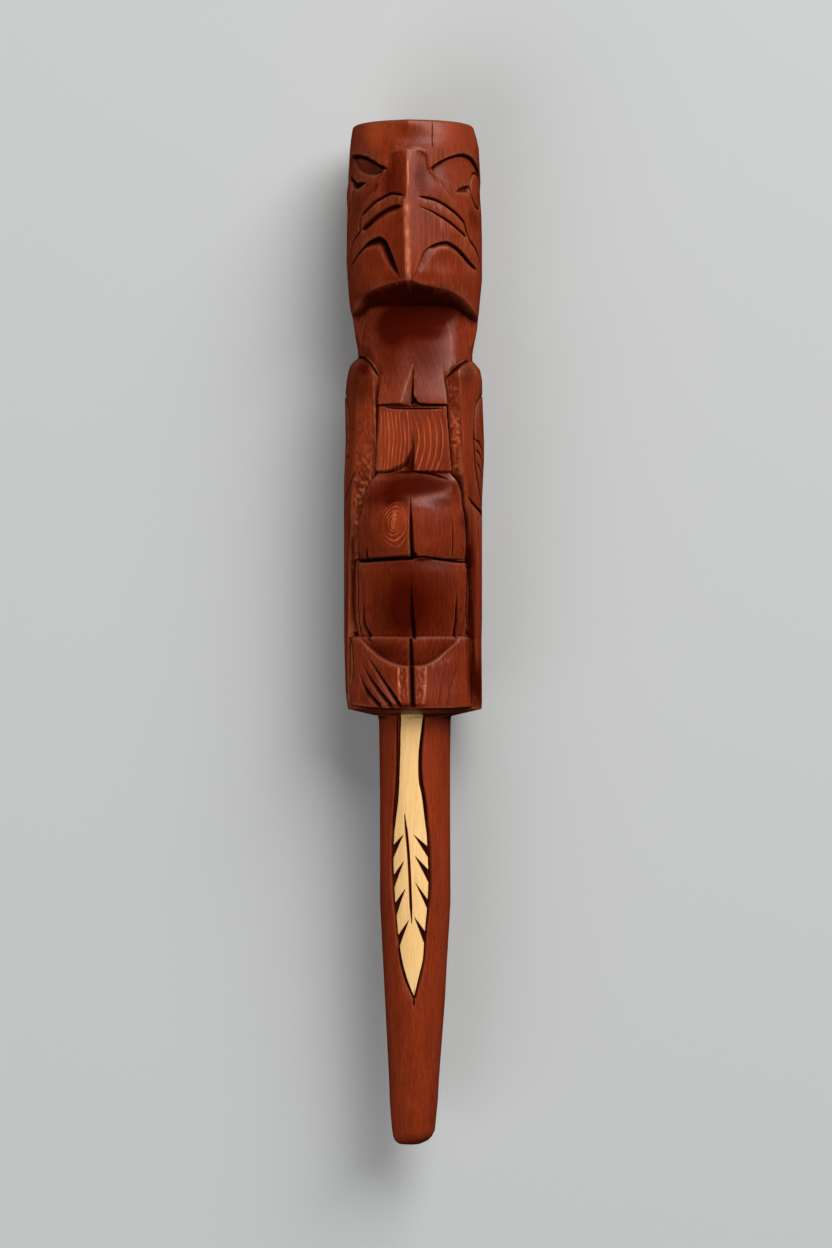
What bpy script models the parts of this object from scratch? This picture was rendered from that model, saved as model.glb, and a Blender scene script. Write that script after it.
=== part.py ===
"""A carved wooden talking stick: a bird's head over a winged body, on a round handle with a bare feather.

One solid, cut from one pole. It lies on its back along Y, with the head at +Y and the carved front at +Z.
The origin is under its middle, on the surface that it lies on. Units are metres.
"""

import math

import bpy
import numpy as np

# Driving sizes
STICK_LENGTH = 0.430
FIGURE_LENGTH = 0.248
POLE_RADIUS = 0.0294
GRIP_RADIUS = 0.0151
FOOT_RADIUS = 0.0093
HEAD_EDGE = 0.0035
FOOT_EDGE = 0.0025
GRIP_FILLET = 0.0022
RESTING_FLAT_CUT = 0.0008
FEATHER_LENGTH = 0.121
FEATHER_HALF_WIDTH = 0.0074
FEATHER_GROOVE_DEPTH = 0.0013
FEATHER_GROOVE_WIDTH = 0.0026

# Handle: share of it that tapers, and how much the taper bows out
TAPER_SHARE = 0.6
TAPER_BOW = 0.08
# A cut's share of its full depth and width at its thin ends, and the share of its length that each takes
LEAST_FULLNESS = 0.2
THIN_END = 0.14

# How finely the carving is worked, and how many faces are left of it
CARVED_STEP = 0.00075
PLAIN_STEP = 0.0035
FRONT_STEP_DEGREES = 1.4
BACK_STEP_DEGREES = 6.0
CARVED_TO_DEGREES = 112.0
MOST_TRIANGLES = 9400

# The carving, as shares of the figure. A height is per cent up the figure, a reach is per cent of the
# pole's radius from its axis, and an angle is degrees round the pole from the front, alike on both sides.
# Outline of the figure, seen from the front: height, reach
POLE = [
    (0, 97), (1.5, 100), (48, 100), (55, 99), (57, 98), (58.5, 95), (60, 86), (60.7, 83), (63.6, 86),
    (69, 94), (72, 97.5), (77, 98.8), (86, 97), (94, 94.5), (100, 90),
]
# Front of the figure along its middle, from the tail up to the neck: height, reach
FRONT = [
    (0, 76.5), (1.9, 90), (7, 87), (13, 85), (13.3, 79.5), (16, 83), (20, 86), (24, 83), (26, 77.5),
    (26.4, 90), (29, 93.5), (32.5, 94.5), (35, 92), (37.5, 84), (40.6, 70.5), (41, 74.5), (46, 74),
    (52, 71.5), (52.3, 80.5), (56.5, 74), (60.5, 67), (64, 61.5), (69.2, 51),
]
CHEST_FOOT = 52.3
# How flat the front is from side to side, from 0, round about the axis, to 1: height, share
FLATNESS = [(0, 0.1), (13, 0.15), (26, 0.15), (26.5, 0), (37, 0), (40.6, 0.9), (72, 0.95)]
# Where the front's forms end, the deepest line beside them, and the wing's edge: height, angle
FORM_EDGE = [(0, 62), (13, 58), (13.3, 54), (26, 53), (33, 50.5), (38, 46), (40.6, 36), (60, 36)]
CHANNEL = [(0, 65), (13, 61), (13.3, 58), (26, 56), (33, 53.5), (38, 49), (42, 39.5), (60, 37.5)]
CHANNEL_FLOOR = [(0, 83), (13, 85), (26, 86), (36, 85), (42, 81), (52, 81), (58, 86)]
WING_EDGE = [(3, 72), (19, 63), (32, 57), (40, 53), (48, 50), (57, 47)]
# Top of the wings: angle, height
SHOULDER = [(33, 56.6), (39, 57.8), (46, 59.2), (52, 60.2), (60, 60.5), (180, 60.7)]
SHOULDER_SLOPE = 1.4
NECK_SIDE_REACH = 80
NECK_SIDE_DEGREES = 55
NECK_FACET_DEGREES = 80
NECK_TOP = 69.2
# Lower rim of the head, from the beak's tip round to the side: angle, height
RIM = [(0, 73), (10, 72.3), (30, 71.3), (40, 70.6), (52, 69.2), (72, 67.5), (85, 66.9)]
UNDERSIDE_LEAST = 0.8
# Ridge of the beak: height, reach
BEAK_RIDGE = [(73, 105.2), (74.2, 108), (77.5, 109.5), (82, 107.5), (92, 99), (94.8, 97), (95.2, 92)]
# Side of the beak's root: height, angle. Brow: angle, height
BEAK_SIDE = [(86.5, 39), (88, 32), (90.5, 25), (92, 19), (95, 14)]
BROW = [(20, 92), (29, 93.1), (49, 94.5), (60, 94.6), (71, 93.9), (80, 92.5), (90, 90.5), (104, 86)]
SOCKET_DEPTH = 8
SOCKET_FOOT = 85
SOCKET_WALL_HEIGHT = 0.5
SOCKET_WALL_DEGREES = 2.5
SOCKET_RUN_OUT_DEGREES = 20
EYE = (76, 88.7)
EYE_REACH = 26
EYE_RING_DEPTH = 5
EYE_RING_WIDTH = 4

# Lines cut into the figure, alike on both sides: points as (angle, height), depth, and the slope's width on
# the line's two sides, going along it. The depth and the widths are per cent of the pole's radius.
LINES = {
    "crescent": ([(6, 87), (15, 87.3), (30, 86), (47, 83.8), (55, 81)], 7, 3.4, 4.5),
    "cheek line": ([(55, 81), (67, 78.8), (80, 76.6), (92, 72.2)], 3.5, 3, 3),
    "nostril": ([(9.5, 85.2), (20, 84.9), (35, 83.1), (50, 81)], 6, 3, 5),
    "inner eye corner": ([(39, 88.9), (47, 89.6), (55, 89.8)], 9, 5, 9),
    "mouth arch": ([(6, 73.3), (10.5, 76), (17, 78.4), (28, 79.9), (40, 79), (57, 76.6), (66, 75.7)],
                   9, 3, 14),
    "tail scoop": ([(52, 12.6), (33, 8.6), (17, 7.2), (0, 6.8), (-9, 6.9)], 7, 3, 16),
    "shell front": ([(98, 54), (88, 53.9), (70, 52.6), (62, 48), (65, 41), (80, 36.1)], 6, 4.5, 4.5),
    "shell back": ([(80, 36.1), (97, 36), (112, 39), (117, 45), (111, 51.6), (98, 54)], 6, 4.5, 4.5),
    "upper feather": ([(63, 46.4), (74, 45.4), (85, 44)], 4.5, 4, 4),
    "middle feather": ([(64, 44.6), (75, 43.1), (85, 41.1)], 4.5, 4, 4),
    "lower feather": ([(65, 42.3), (76, 40.4), (86, 38.3)], 4.5, 4, 4),
    "wing band": ([(56, 36), (66, 34.6), (85, 33.2), (105, 32.3)], 5, 4, 4),
    "wing quill": ([(66, 34), (72, 27), (78, 18), (82, 5)], 5, 4, 4),
}
# Wedges, which widen from a point to their lower end, as above
WEDGES = {
    "chest notch": ([(0, 59.6), (0, 52.4)], 10, 11, 11),
    "panel slit": ([(0, 45), (0, 41)], 6, 7, 7),
    "belly slit": ([(0, 34), (0, 26.4)], 9, 7, 7),
    "belly side slit": ([(42, 32.5), (44, 26.4)], 6, 6, 6),
    "lap slit": ([(0, 23.5), (0, 13.4)], 10, 8, 8),
    "lap side slit": ([(40, 21.5), (42, 13.4)], 9, 6, 6),
    "tail slit": ([(0, 12.8), (0, 1)], 8, 8, 8),
}
# Wedges on the figure's left only, as above, with their angles counted to the left
LEFT_WEDGES = {
    "outer tail feather": ([(50, 6.8), (43, 1)], 7, 9, 9),
    "middle tail feather": ([(49, 8.6), (33, 1)], 7, 9, 9),
    "inner tail feather": ([(45, 10.2), (22, 1)], 8, 10, 10),
}
# Edge of the feather, and the notches between its barbs, which run up to the quill: per cent down the
# feather from the figure, and per cent of its half width
FEATHER_EDGE = [
    (0, 62), (10, 53), (22, 50), (28, 57), (33, 80), (42, 97), (52, 100), (66, 93), (80, 72), (92, 40),
    (100, 6),
]
FEATHER_QUILL = [(36, 0), (55, 0), (76, 0)]
BARB_NOTCHES = [(36, 50), (47, 60), (57, 70), (69, 81)]
BARB_ROOT = (0, 12)
BARB_BEND = (6, 50)
BARB_WIDTH_SHARE = 0.6


def curve(points, at):
    """Straight runs between points of (where, value)."""
    places, values = zip(*points)
    return np.interp(at, places, values)


def smooth(points, steps=6):
    """Points on a smooth curve through the given ones."""
    line = np.array(points, float)
    padded = np.vstack([2 * line[0] - line[1], line, 2 * line[-1] - line[-2]])
    found = []
    for a, b, c, d in zip(padded, padded[1:], padded[2:], padded[3:]):
        for step in range(steps):
            t = step / steps
            found.append(
                b + 0.5 * t * (c - a + t * (2 * a - 5 * b + 4 * c - d + t * (3 * (b - c) + d - a)))
            )
    return np.array(found + [line[-1]])


def from_line(across, along, points):
    """Distance from a line, with the side as its sign, and the share of the line at the nearest point."""
    steps = np.diff(points, axis=0)
    lengths = np.hypot(steps[:, 0], steps[:, 1])
    reached = np.concatenate([[0], np.cumsum(lengths)]) / lengths.sum()
    nearest = np.full(across.shape, np.inf)
    side = np.ones(across.shape)
    share = np.zeros(across.shape)
    for index, (point, step) in enumerate(zip(points, steps)):
        reach = (across - point[0]) * step[0] + (along - point[1]) * step[1]
        t = np.clip(reach / lengths[index] ** 2, 0, 1)
        off_across = across - point[0] - t * step[0]
        off_along = along - point[1] - t * step[1]
        distance = np.hypot(off_across, off_along)
        closer = distance < nearest
        nearest = np.where(closer, distance, nearest)
        side = np.where(closer, np.sign(step[0] * off_along - step[1] * off_across), side)
        share = np.where(closer, reached[index] + t * (reached[index + 1] - reached[index]), share)
    return nearest * np.where(side == 0, 1, side), share


def groove(across, along, points, depth, left, right, widens=False):
    """Depth of a V cut along a line, which runs out at both of its ends, or widens from one to the other."""
    distance, share = from_line(across, along, smooth(points))
    width = np.where(distance > 0, left, right)
    to_end = share if widens else np.minimum(share, 1 - share) / THIN_END
    fullness = np.clip(to_end + LEAST_FULLNESS, 0, 1)
    return depth * fullness * np.clip(1 - np.abs(distance) / (width * fullness), 0, 1)


def body_reach(angle, height, pole):
    """The body's section: a form in front, a channel beside it, and a wing that keeps the pole's surface."""
    form_edge, channel, wing_edge = (curve(points, height) for points in (FORM_EDGE, CHANNEL, WING_EDGE))
    bend = np.cos(np.radians(np.minimum(angle, form_edge))) ** curve(FLATNESS, height)
    form = np.minimum(curve(FRONT, height) / bend, pole)
    floor = np.minimum(curve(CHANNEL_FLOOR, height), form)
    down = np.clip((angle - form_edge) / (channel - form_edge), 0, 1)
    up = np.clip((angle - channel) / (wing_edge - channel), 0, 1)
    return form + (floor - form) * down + (pole - floor) * up


def neck_reach(angle, height, pole):
    """The neck's section: flat in front and on two facets beside that, and round behind."""
    most = NECK_FACET_DEGREES
    front = curve(FRONT, height) / np.cos(np.radians(np.minimum(angle, most)))
    side = NECK_SIDE_REACH / np.cos(np.radians(np.clip(angle - NECK_SIDE_DEGREES, -most, most)))
    return np.minimum(np.minimum(front, side), pole)


def head_reach(angle, height, pole):
    """The head: round, with the beak's two flanks running from its ridge out to the pole's surface."""
    ridge = np.maximum(curve(BEAK_RIDGE, height), pole + 0.01)
    spread = np.arccos(pole / ridge)
    flank = pole / np.cos(np.maximum(spread - np.radians(angle), 0))
    brow = curve(BROW, angle)
    rise = np.clip((height - SOCKET_FOOT) / np.maximum(brow - SOCKET_FOOT, 1), 0, 1)
    under_brow = np.clip((brow - height) / SOCKET_WALL_HEIGHT, 0, 1)
    beside_beak = np.clip((angle - curve(BEAK_SIDE, height)) / SOCKET_WALL_DEGREES, 0, 1)
    run_out = np.clip((BROW[-1][0] - angle) / SOCKET_RUN_OUT_DEGREES, 0, 1)
    return flank - SOCKET_DEPTH * rise * under_brow * beside_beak * run_out


def figure_reach(turn, height):
    """The figure's surface, in per cent of the pole's radius, at angles that count to the right."""
    angle = np.abs(turn)
    pole = curve(POLE, height)
    body = body_reach(angle, height, pole)
    neck = neck_reach(angle, height, pole)
    above = np.clip((height - curve(SHOULDER, angle)) / SHOULDER_SLOPE, 0, 1)
    reach = body + (neck - body) * np.where(angle < SHOULDER[0][0], 1, above) * (height > CHEST_FOOT)
    rim = curve(RIM, angle)
    neck_top = np.minimum(NECK_TOP, rim - UNDERSIDE_LEAST)
    under = np.clip((height - neck_top) / (rim - neck_top), 0, 1)
    rim_reach = head_reach(angle, rim, curve(POLE, rim))
    neck_top_reach = neck_reach(angle, neck_top, curve(POLE, neck_top))
    underside = neck_top_reach + (rim_reach - neck_top_reach) * under
    reach = np.where(height > neck_top, underside, reach)
    reach = np.where(height > rim, head_reach(angle, height, pole), reach)

    # Lengths on the pole's surface, both in per cent of its radius
    to_right = 100 * np.radians(turn)
    around = np.abs(to_right)
    up = height * FIGURE_LENGTH / POLE_RADIUS
    to_surface = np.array([100 * math.radians(1), FIGURE_LENGTH / POLE_RADIUS])
    kinds = ((LINES, around, False), (WEDGES, around, True), (LEFT_WEDGES, -to_right, True))
    for cuts, side, widens in kinds:
        for points, depth, left, right in cuts.values():
            reach = reach - groove(side, up, np.array(points) * to_surface, depth, left, right, widens)
    eye = np.array(EYE) * to_surface
    off_ring = np.abs(np.hypot(around - eye[0], up - eye[1]) - EYE_REACH)
    return reach - EYE_RING_DEPTH * np.clip(1 - off_ring / EYE_RING_WIDTH, 0, 1)


def handle_radius(angle, along):
    """The handle's surface in metres, at a distance up from its foot, with the feather's outline cut in."""
    handle_length = STICK_LENGTH - FIGURE_LENGTH
    taper = np.clip(along / (TAPER_SHARE * handle_length), 0, 1)
    radius = FOOT_RADIUS + (GRIP_RADIUS - FOOT_RADIUS) * (taper + TAPER_BOW * np.sin(math.pi * taper))
    into_edge = np.clip(1 - along / FOOT_EDGE, 0, 1)
    radius = radius - FOOT_EDGE * (1 - np.sqrt(1 - into_edge**2))
    into_fillet = np.clip(1 - (handle_length - along) / GRIP_FILLET, 0, 1)
    radius = radius + GRIP_FILLET * (1 - np.sqrt(1 - into_fillet**2))

    around = np.radians(angle) * GRIP_RADIUS
    down = handle_length - along
    to_feather = np.array([FEATHER_LENGTH, FEATHER_HALF_WIDTH]) / 100
    lines = [(FEATHER_EDGE, 1), (FEATHER_QUILL, BARB_WIDTH_SHARE)]
    for low, high in BARB_NOTCHES:
        root = (low + BARB_ROOT[0], BARB_ROOT[1])
        bend = (low + BARB_BEND[0], BARB_BEND[1])
        lines.append(([root, bend, (high, curve(FEATHER_EDGE, high))], BARB_WIDTH_SHARE))
    cut = np.zeros(around.shape)
    for points, share in lines:
        width = share * FEATHER_GROOVE_WIDTH / 2
        depth = share * FEATHER_GROOVE_DEPTH
        cut = np.maximum(cut, groove(down, around, np.array(points) * to_feather, depth, width, width))
    return radius - cut


def angles_round():
    """Angles of one section from the back round to the back, close together on the carved front."""
    front = np.arange(0, CARVED_TO_DEGREES, FRONT_STEP_DEGREES)
    back = np.linspace(CARVED_TO_DEGREES, 180, round((180 - CARVED_TO_DEGREES) / BACK_STEP_DEGREES))
    half = np.concatenate([front, back])
    return np.concatenate([-half[:0:-1], half[:-1]])


def evenly(start, end, step):
    return np.linspace(start, end, max(2, round((end - start) / step) + 1))


def sections():
    """Places along the stick from its foot, with the radius at every angle there."""
    angles = angles_round()
    handle_length = STICK_LENGTH - FIGURE_LENGTH
    feather_foot = handle_length - FEATHER_LENGTH - FEATHER_GROOVE_WIDTH
    handle = np.unique(
        np.concatenate(
            [
                evenly(0, FOOT_EDGE, FOOT_EDGE / 4),
                evenly(FOOT_EDGE, feather_foot, PLAIN_STEP),
                evenly(feather_foot, handle_length, CARVED_STEP),
            ]
        )
    )
    breaks = [height * FIGURE_LENGTH / 100 for height, _ in FRONT]
    head_edge = FIGURE_LENGTH - HEAD_EDGE * (1 - np.sin(np.linspace(0, math.pi / 2, 5)))
    figure = np.unique(
        np.round(np.concatenate([evenly(0, head_edge[0], CARVED_STEP), breaks, head_edge]), 5)
    )
    handle_grid = np.meshgrid(handle, angles, indexing="ij")
    figure_grid = np.meshgrid(figure, angles, indexing="ij")
    handle_radii = handle_radius(np.abs(handle_grid[1]), handle_grid[0])
    figure_radii = POLE_RADIUS / 100 * figure_reach(figure_grid[1], 100 * figure_grid[0] / FIGURE_LENGTH)
    into_edge = np.clip((figure - head_edge[0]) / HEAD_EDGE, 0, 1)
    figure_radii -= HEAD_EDGE * (1 - np.sqrt(1 - into_edge**2))[:, None]
    return np.concatenate([handle, handle_length + figure]), np.concatenate([handle_radii, figure_radii])


def make_material(name, colour, roughness):
    material = bpy.data.materials.new(name)
    material.use_nodes = True
    shader = material.node_tree.nodes["Principled BSDF"]
    shader.inputs["Base Color"].default_value = (*colour, 1)
    shader.inputs["Roughness"].default_value = roughness
    shader.inputs["Metallic"].default_value = 0
    return material


def carve_stick(collection):
    """A loft through the stick's sections, thinned to the faces that its carving needs."""
    places, radii = sections()
    turn = np.radians(angles_round())
    lift = POLE_RADIUS - RESTING_FLAT_CUT
    points = np.stack(
        [
            radii * np.sin(turn),
            np.repeat(places[:, None] - STICK_LENGTH / 2, len(turn), axis=1),
            radii * np.cos(turn) + lift,
        ],
        axis=2,
    )
    around = len(turn)
    rows = len(places)
    faces = [
        (row * around + column, row * around + (column + 1) % around,
         (row + 1) * around + (column + 1) % around, (row + 1) * around + column)
        for row in range(rows - 1)
        for column in range(around)
    ]
    faces.append(tuple(reversed(range(around))))
    faces.append(tuple(range((rows - 1) * around, rows * around)))
    mesh = bpy.data.meshes.new("talking_stick")
    mesh.from_pydata(points.reshape(-1, 3).tolist(), [], faces)
    mesh.shade_smooth()
    mesh.set_sharp_from_angle(angle=math.radians(35))
    mesh.materials.append(make_material("stained cedar", (0.23, 0.055, 0.028), 0.42))
    stick = bpy.data.objects.new("talking_stick", mesh)
    collection.objects.link(stick)
    thin = stick.modifiers.new("faces the carving needs", "DECIMATE")
    thin.ratio = MOST_TRIANGLES / (2 * rows * around)
    return stick


def cut_resting_flat(stick, cutters):
    """Planes the pole's round back down to the surface that the stick lies on."""
    size = 4 * POLE_RADIUS
    bpy.ops.mesh.primitive_cube_add(size=1, location=(0, 0, -size / 2))
    block = bpy.context.object
    block.name = "resting_flat_cutter"
    block.scale = (size, 1.2 * STICK_LENGTH, size)
    bpy.ops.object.transform_apply(location=False, rotation=False, scale=True)
    for collection in list(block.users_collection):
        collection.objects.unlink(block)
    cutters.objects.link(block)
    block.hide_render = True
    block.display_type = "WIRE"
    cut = stick.modifiers.new("resting flat", "BOOLEAN")
    cut.operation = "DIFFERENCE"
    cut.object = block


def main():
    for obj in list(bpy.data.objects):
        bpy.data.objects.remove(obj)
    parts = bpy.data.collections.new("talking stick")
    cutters = bpy.data.collections.new("cutters")
    cutters.hide_render = True
    for collection in (parts, cutters):
        bpy.context.scene.collection.children.link(collection)
    stick = carve_stick(parts)
    cut_resting_flat(stick, cutters)


main()
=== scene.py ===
import math

import bpy
import numpy as np
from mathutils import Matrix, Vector


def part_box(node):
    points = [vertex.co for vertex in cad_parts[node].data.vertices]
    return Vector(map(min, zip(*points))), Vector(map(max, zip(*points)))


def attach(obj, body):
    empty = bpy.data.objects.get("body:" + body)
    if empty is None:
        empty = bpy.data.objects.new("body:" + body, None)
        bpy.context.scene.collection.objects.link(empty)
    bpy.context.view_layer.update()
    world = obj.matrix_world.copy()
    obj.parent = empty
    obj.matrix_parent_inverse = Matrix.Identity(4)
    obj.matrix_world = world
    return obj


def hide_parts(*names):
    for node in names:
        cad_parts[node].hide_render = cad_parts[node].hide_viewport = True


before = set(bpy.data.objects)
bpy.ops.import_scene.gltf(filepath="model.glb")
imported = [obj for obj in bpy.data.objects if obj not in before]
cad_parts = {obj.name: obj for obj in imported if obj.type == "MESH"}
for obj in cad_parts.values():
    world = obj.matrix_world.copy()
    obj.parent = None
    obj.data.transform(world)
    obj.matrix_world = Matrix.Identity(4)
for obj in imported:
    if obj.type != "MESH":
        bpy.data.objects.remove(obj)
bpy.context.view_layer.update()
low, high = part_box("talking_stick")

# Lengths are millimetres until the mesh is made. "up" runs from the stick's foot to the top of its head, and
# "turn" is degrees round the pole from the carved front, positive to the right as the picture shows it.
mm = 0.001
stick = {
    "length": (high.y - low.y) / mm,
    "poleRadius": (high.x - low.x) / 2 / mm,
    "restingFlat": 0.8,  # planed off the back, so that it doesn't roll
    "figureFoot": 182,  # where the handle ends
    "headEdge": (1.9, 1.7),  # rounding of the head's top edge, across and along
}
stick["axis"] = stick["poleRadius"] - stick["restingFlat"]  # height of its middle line over the floor

# The photograph, as the camera takes it: straight down on the stick, with the picture's up along +Y
picture = {
    "size": (832, 1248),
    "seenLength": 527.9,  # from the picture's top to its foot, at the height of the stick's axis
    "cameraHeight": 1720,  # above the axis
    "lookAt": (0.85, 219.6),  # right of the axis, up from the foot
    "film": 36,  # along its longer side
}
picture["middle"] = (picture["size"][0] / 2, picture["size"][1] / 2)
picture["perPixel"] = picture["seenLength"] / picture["size"][1]  # mm, at the height of the axis


def readCurve(points, at):
    places, values = zip(*points)
    return np.interp(at, places, values)


def readRounded(points, at):
    # as readCurve, but rounded between the points, without passing beyond them
    places, values = np.array(points, float).T
    slopes = np.diff(values) / np.diff(places)
    before = np.concatenate([[0], slopes])
    after = np.concatenate([slopes, [0]])
    tangents = np.where(before * after > 0, 2 * before * after / (before + after + 1e-12), 0)
    at = np.clip(at, places[0], places[-1])
    index = np.clip(np.searchsorted(places, at, side="right") - 1, 0, len(slopes) - 1)
    span = places[index + 1] - places[index]
    t = (at - places[index]) / span
    rise = values[index + 1] - values[index]
    bend = tangents[index] * span * t * (1 - t) ** 2 - tangents[index + 1] * span * t**2 * (1 - t)
    return values[index] + rise * softStep(t) + bend


def smoothPath(points, steps=7):
    # a smooth line through the given points
    line = np.array(points, float)
    padded = np.vstack([2 * line[0] - line[1], line, 2 * line[-1] - line[-2]])
    found = []
    for a, b, c, d in zip(padded, padded[1:], padded[2:], padded[3:]):
        for step in range(steps):
            t = step / steps
            found.append(b + 0.5 * t * (c - a + t * (2 * a - 5 * b + 4 * c - d + t * (3 * (b - c) + d - a))))
    return np.array(found + [line[-1]])


def softStep(share):
    share = np.clip(share, 0, 1)
    return share * share * (3 - 2 * share)


def onStick(points, reachAt):
    # picture points to (turn, up) on the surface that the camera sees there
    tries = np.arange(0, 89.6, 0.15)
    found = []
    for across, down in points:
        lift = 20.0  # a first guess of its height over the axis, bettered in each round
        for _ in range(4):
            scale = picture["perPixel"] * (1 - lift / picture["cameraHeight"])
            right = picture["lookAt"][0] + (across - picture["middle"][0]) * scale
            up = picture["lookAt"][1] + (picture["middle"][1] - down) * scale
            side = 1 if right >= 0 else -1
            reach = reachAt(side * tries, np.full(len(tries), up))
            out = np.maximum.accumulate(reach * np.sin(np.radians(tries)))
            turn = np.interp(abs(right), out, tries)
            lift = np.interp(turn, tries, reach * np.cos(np.radians(tries)))
        found.append((side * turn, up))
    return found


def fromPath(across, up, path):
    # distance from a path, positive on the left of the way it runs, and the share of it at the nearest point
    steps = np.diff(path, axis=0)
    lengths = np.maximum(np.hypot(steps[:, 0], steps[:, 1]), 1e-6)
    reached = np.concatenate([[0], np.cumsum(lengths)]) / lengths.sum()
    nearest = np.full(across.shape, np.inf)
    side = np.ones(across.shape)
    share = np.zeros(across.shape)
    for index, (point, step) in enumerate(zip(path, steps)):
        t = np.clip(((across - point[0]) * step[0] + (up - point[1]) * step[1]) / lengths[index] ** 2, 0, 1)
        offAcross = across - point[0] - t * step[0]
        offUp = up - point[1] - t * step[1]
        distance = np.hypot(offAcross, offUp)
        closer = distance < nearest
        nearest = np.where(closer, distance, nearest)
        side = np.where(closer, np.sign(step[0] * offUp - step[1] * offAcross), side)
        share = np.where(closer, reached[index] + t * (reached[index + 1] - reached[index]), share)
    return nearest * np.where(side == 0, 1, side), share


def insideOutline(across, up, outline):
    # distance in from a closed outline, negative outside it
    closed = np.vstack([outline, outline[:1]])
    distance = np.abs(fromPath(across, up, closed)[0])
    crossings = np.zeros(across.shape, int)
    for (ax, ay), (bx, by) in zip(closed, closed[1:]):
        spans = (ay > up) != (by > up)
        crossings += spans & (across < ax + (up - ay) * (bx - ax) / (by - ay if by != ay else 1e-9))
    return np.where(crossings % 2 == 1, distance, -distance)


def unevenness(turn, up, pitchAround, pitchUp, seed):
    # smooth random heights from -1 to 1, closed round the pole
    dice = np.random.default_rng(seed)
    around = max(4, round(2 * math.pi * stick["poleRadius"] / pitchAround))
    lattice = dice.uniform(-1, 1, (int(stick["length"] / pitchUp) + 4, around))
    u = (turn + 180) / 360 * around
    v = np.clip(up, 0, stick["length"]) / pitchUp
    column = np.floor(u).astype(int)
    row = np.floor(v).astype(int)
    du = softStep(u - column)
    dv = softStep(v - row)
    near = lattice[row, column % around] * (1 - du) + lattice[row, (column + 1) % around] * du
    far = lattice[row + 1, column % around] * (1 - du) + lattice[row + 1, (column + 1) % around] * du
    return near * (1 - dv) + far * dv


# The pole before the carving: left and right outline in the picture, row by row
pole = {
    "outline": [
        (130, 352.5, 474), (140, 351, 477), (150, 350, 479), (180, 348, 480.5), (240, 347, 482),
        (262, 346.5, 482), (280, 347.5, 482), (300, 349, 480), (311, 350.5, 479), (320, 353, 478),
        (330, 354.5, 477), (340, 356, 475), (350, 358, 473), (358, 358.5, 472), (360, 356.5, 472),
        (362, 354, 473), (365, 351, 476), (370, 349, 480), (380, 347, 482), (400, 345, 482.5),
        (440, 345.5, 484), (460, 345, 484), (480, 344, 483), (500, 344, 482), (620, 344, 482),
        (640, 344, 481.5), (690, 345.5, 482), (703, 347, 482), (709, 348, 481.5), (716, 378, 451),
        (722, 379, 450.5), (760, 379.5, 450), (800, 380, 450), (900, 380, 450.5), (920, 381, 449.5),
        (960, 383, 447), (1000, 385, 445), (1040, 387, 442), (1080, 389, 439), (1100, 389.5, 438),
        (1120, 391, 436), (1130, 392, 435), (1136, 393, 432), (1140, 394.5, 428), (1143, 398, 421),
        (1144.6, 403, 416),
    ],
}


def poleReach(turn, up):
    rows, lefts, rights = np.array(pole["outline"][::-1]).T
    places = picture["lookAt"][1] + (picture["middle"][1] - rows) * picture["perPixel"]
    places[0] = min(places[0], 0)
    left = -picture["lookAt"][0] - (lefts - picture["middle"][0]) * picture["perPixel"]
    right = picture["lookAt"][0] + (rights - picture["middle"][0]) * picture["perPixel"]
    toLeft = np.interp(up, places, left)
    toRight = np.interp(up, places, right)
    return (toLeft + toRight) / 2 + (toRight - toLeft) / 2 * np.sin(np.radians(turn))


# The body's forms, as one section that changes on the way up: a form in front, a channel on each side of it,
# and the wings
body = {
    "front": [  # up, height over the axis along the middle
        (181.8, 15.2), (182.2, 20.2), (183.8, 24.6), (184.5, 26.1), (188, 26.3), (199, 25.6), (213.8, 25),
        (214.5, 23.4), (221.5, 24.4), (231.5, 25.2), (241, 25), (246.4, 24.3), (247.3, 26.1), (254, 27.4),
        (262, 27.9), (268, 27.5), (271.5, 26.4), (275.5, 24.4), (279.5, 22.5), (283, 20.9), (283.8, 21.9),
        (296, 21.8), (310.8, 21.3), (311.5, 23.4), (319, 22.2), (328, 20.4), (337, 18.6), (345, 17),
        (353.5, 15.9),
    ],
    "flatness": [(182, 0.1), (214, 0.15), (246, 0.15), (247.5, 0), (268, 0), (283, 0.9), (310, 0.9),
                 (312, 0.6)],
    "chestFoot": 311.2,
    "left": {  # up, turn
        "formEdge": [(182, 71), (200, 69), (213.8, 67.5), (214.5, 64.6), (246, 64.3), (247, 61.5),
                     (256, 60), (264, 56.6), (271, 51), (277, 44), (281.5, 38.6), (284, 37.6), (300, 36.8),
                     (330, 36)],
        "channel": [(182, 72.4), (213, 69), (214.5, 66), (246, 65.7), (247, 62.9), (256, 61.4), (264, 58),
                    (271, 52.4), (277, 45.4), (281.5, 40), (284, 39), (300, 38.2), (330, 37.4)],
        "wingEdge": [(182, 74), (221, 68.5), (247, 66.5), (272, 62.5), (298, 57.5), (330, 54)],
        "floor": [(182, 25), (214, 25), (246, 25.2), (271, 24.6), (284, 25), (300, 25.3), (330, 25.3)],
    },
    "right": {
        "formEdge": [(182, 61), (213.8, 60), (214.5, 56.8), (230, 56.5), (247, 54.5), (256, 51.7),
                     (264, 49.5), (273, 45.5), (279, 40.5), (283, 36.3), (305, 33.4), (330, 31)],
        "channel": [(182, 62.4), (213, 61.6), (214.5, 58.4), (230, 58.2), (247, 55.8), (256, 53),
                    (264, 50.8), (273, 46.8), (279, 42.4), (284, 38), (305, 35), (330, 32.6)],
        "wingEdge": [(182, 72), (214, 66), (230, 60.2), (256, 54.6), (273, 48.6), (284, 45), (305, 43.9),
                     (330, 41)],
        "floor": [(182, 24.6), (214, 24.6), (246, 24.8), (271, 23.8), (284, 24.6), (305, 24.9),
                  (330, 24.9)],
    },
}

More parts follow.
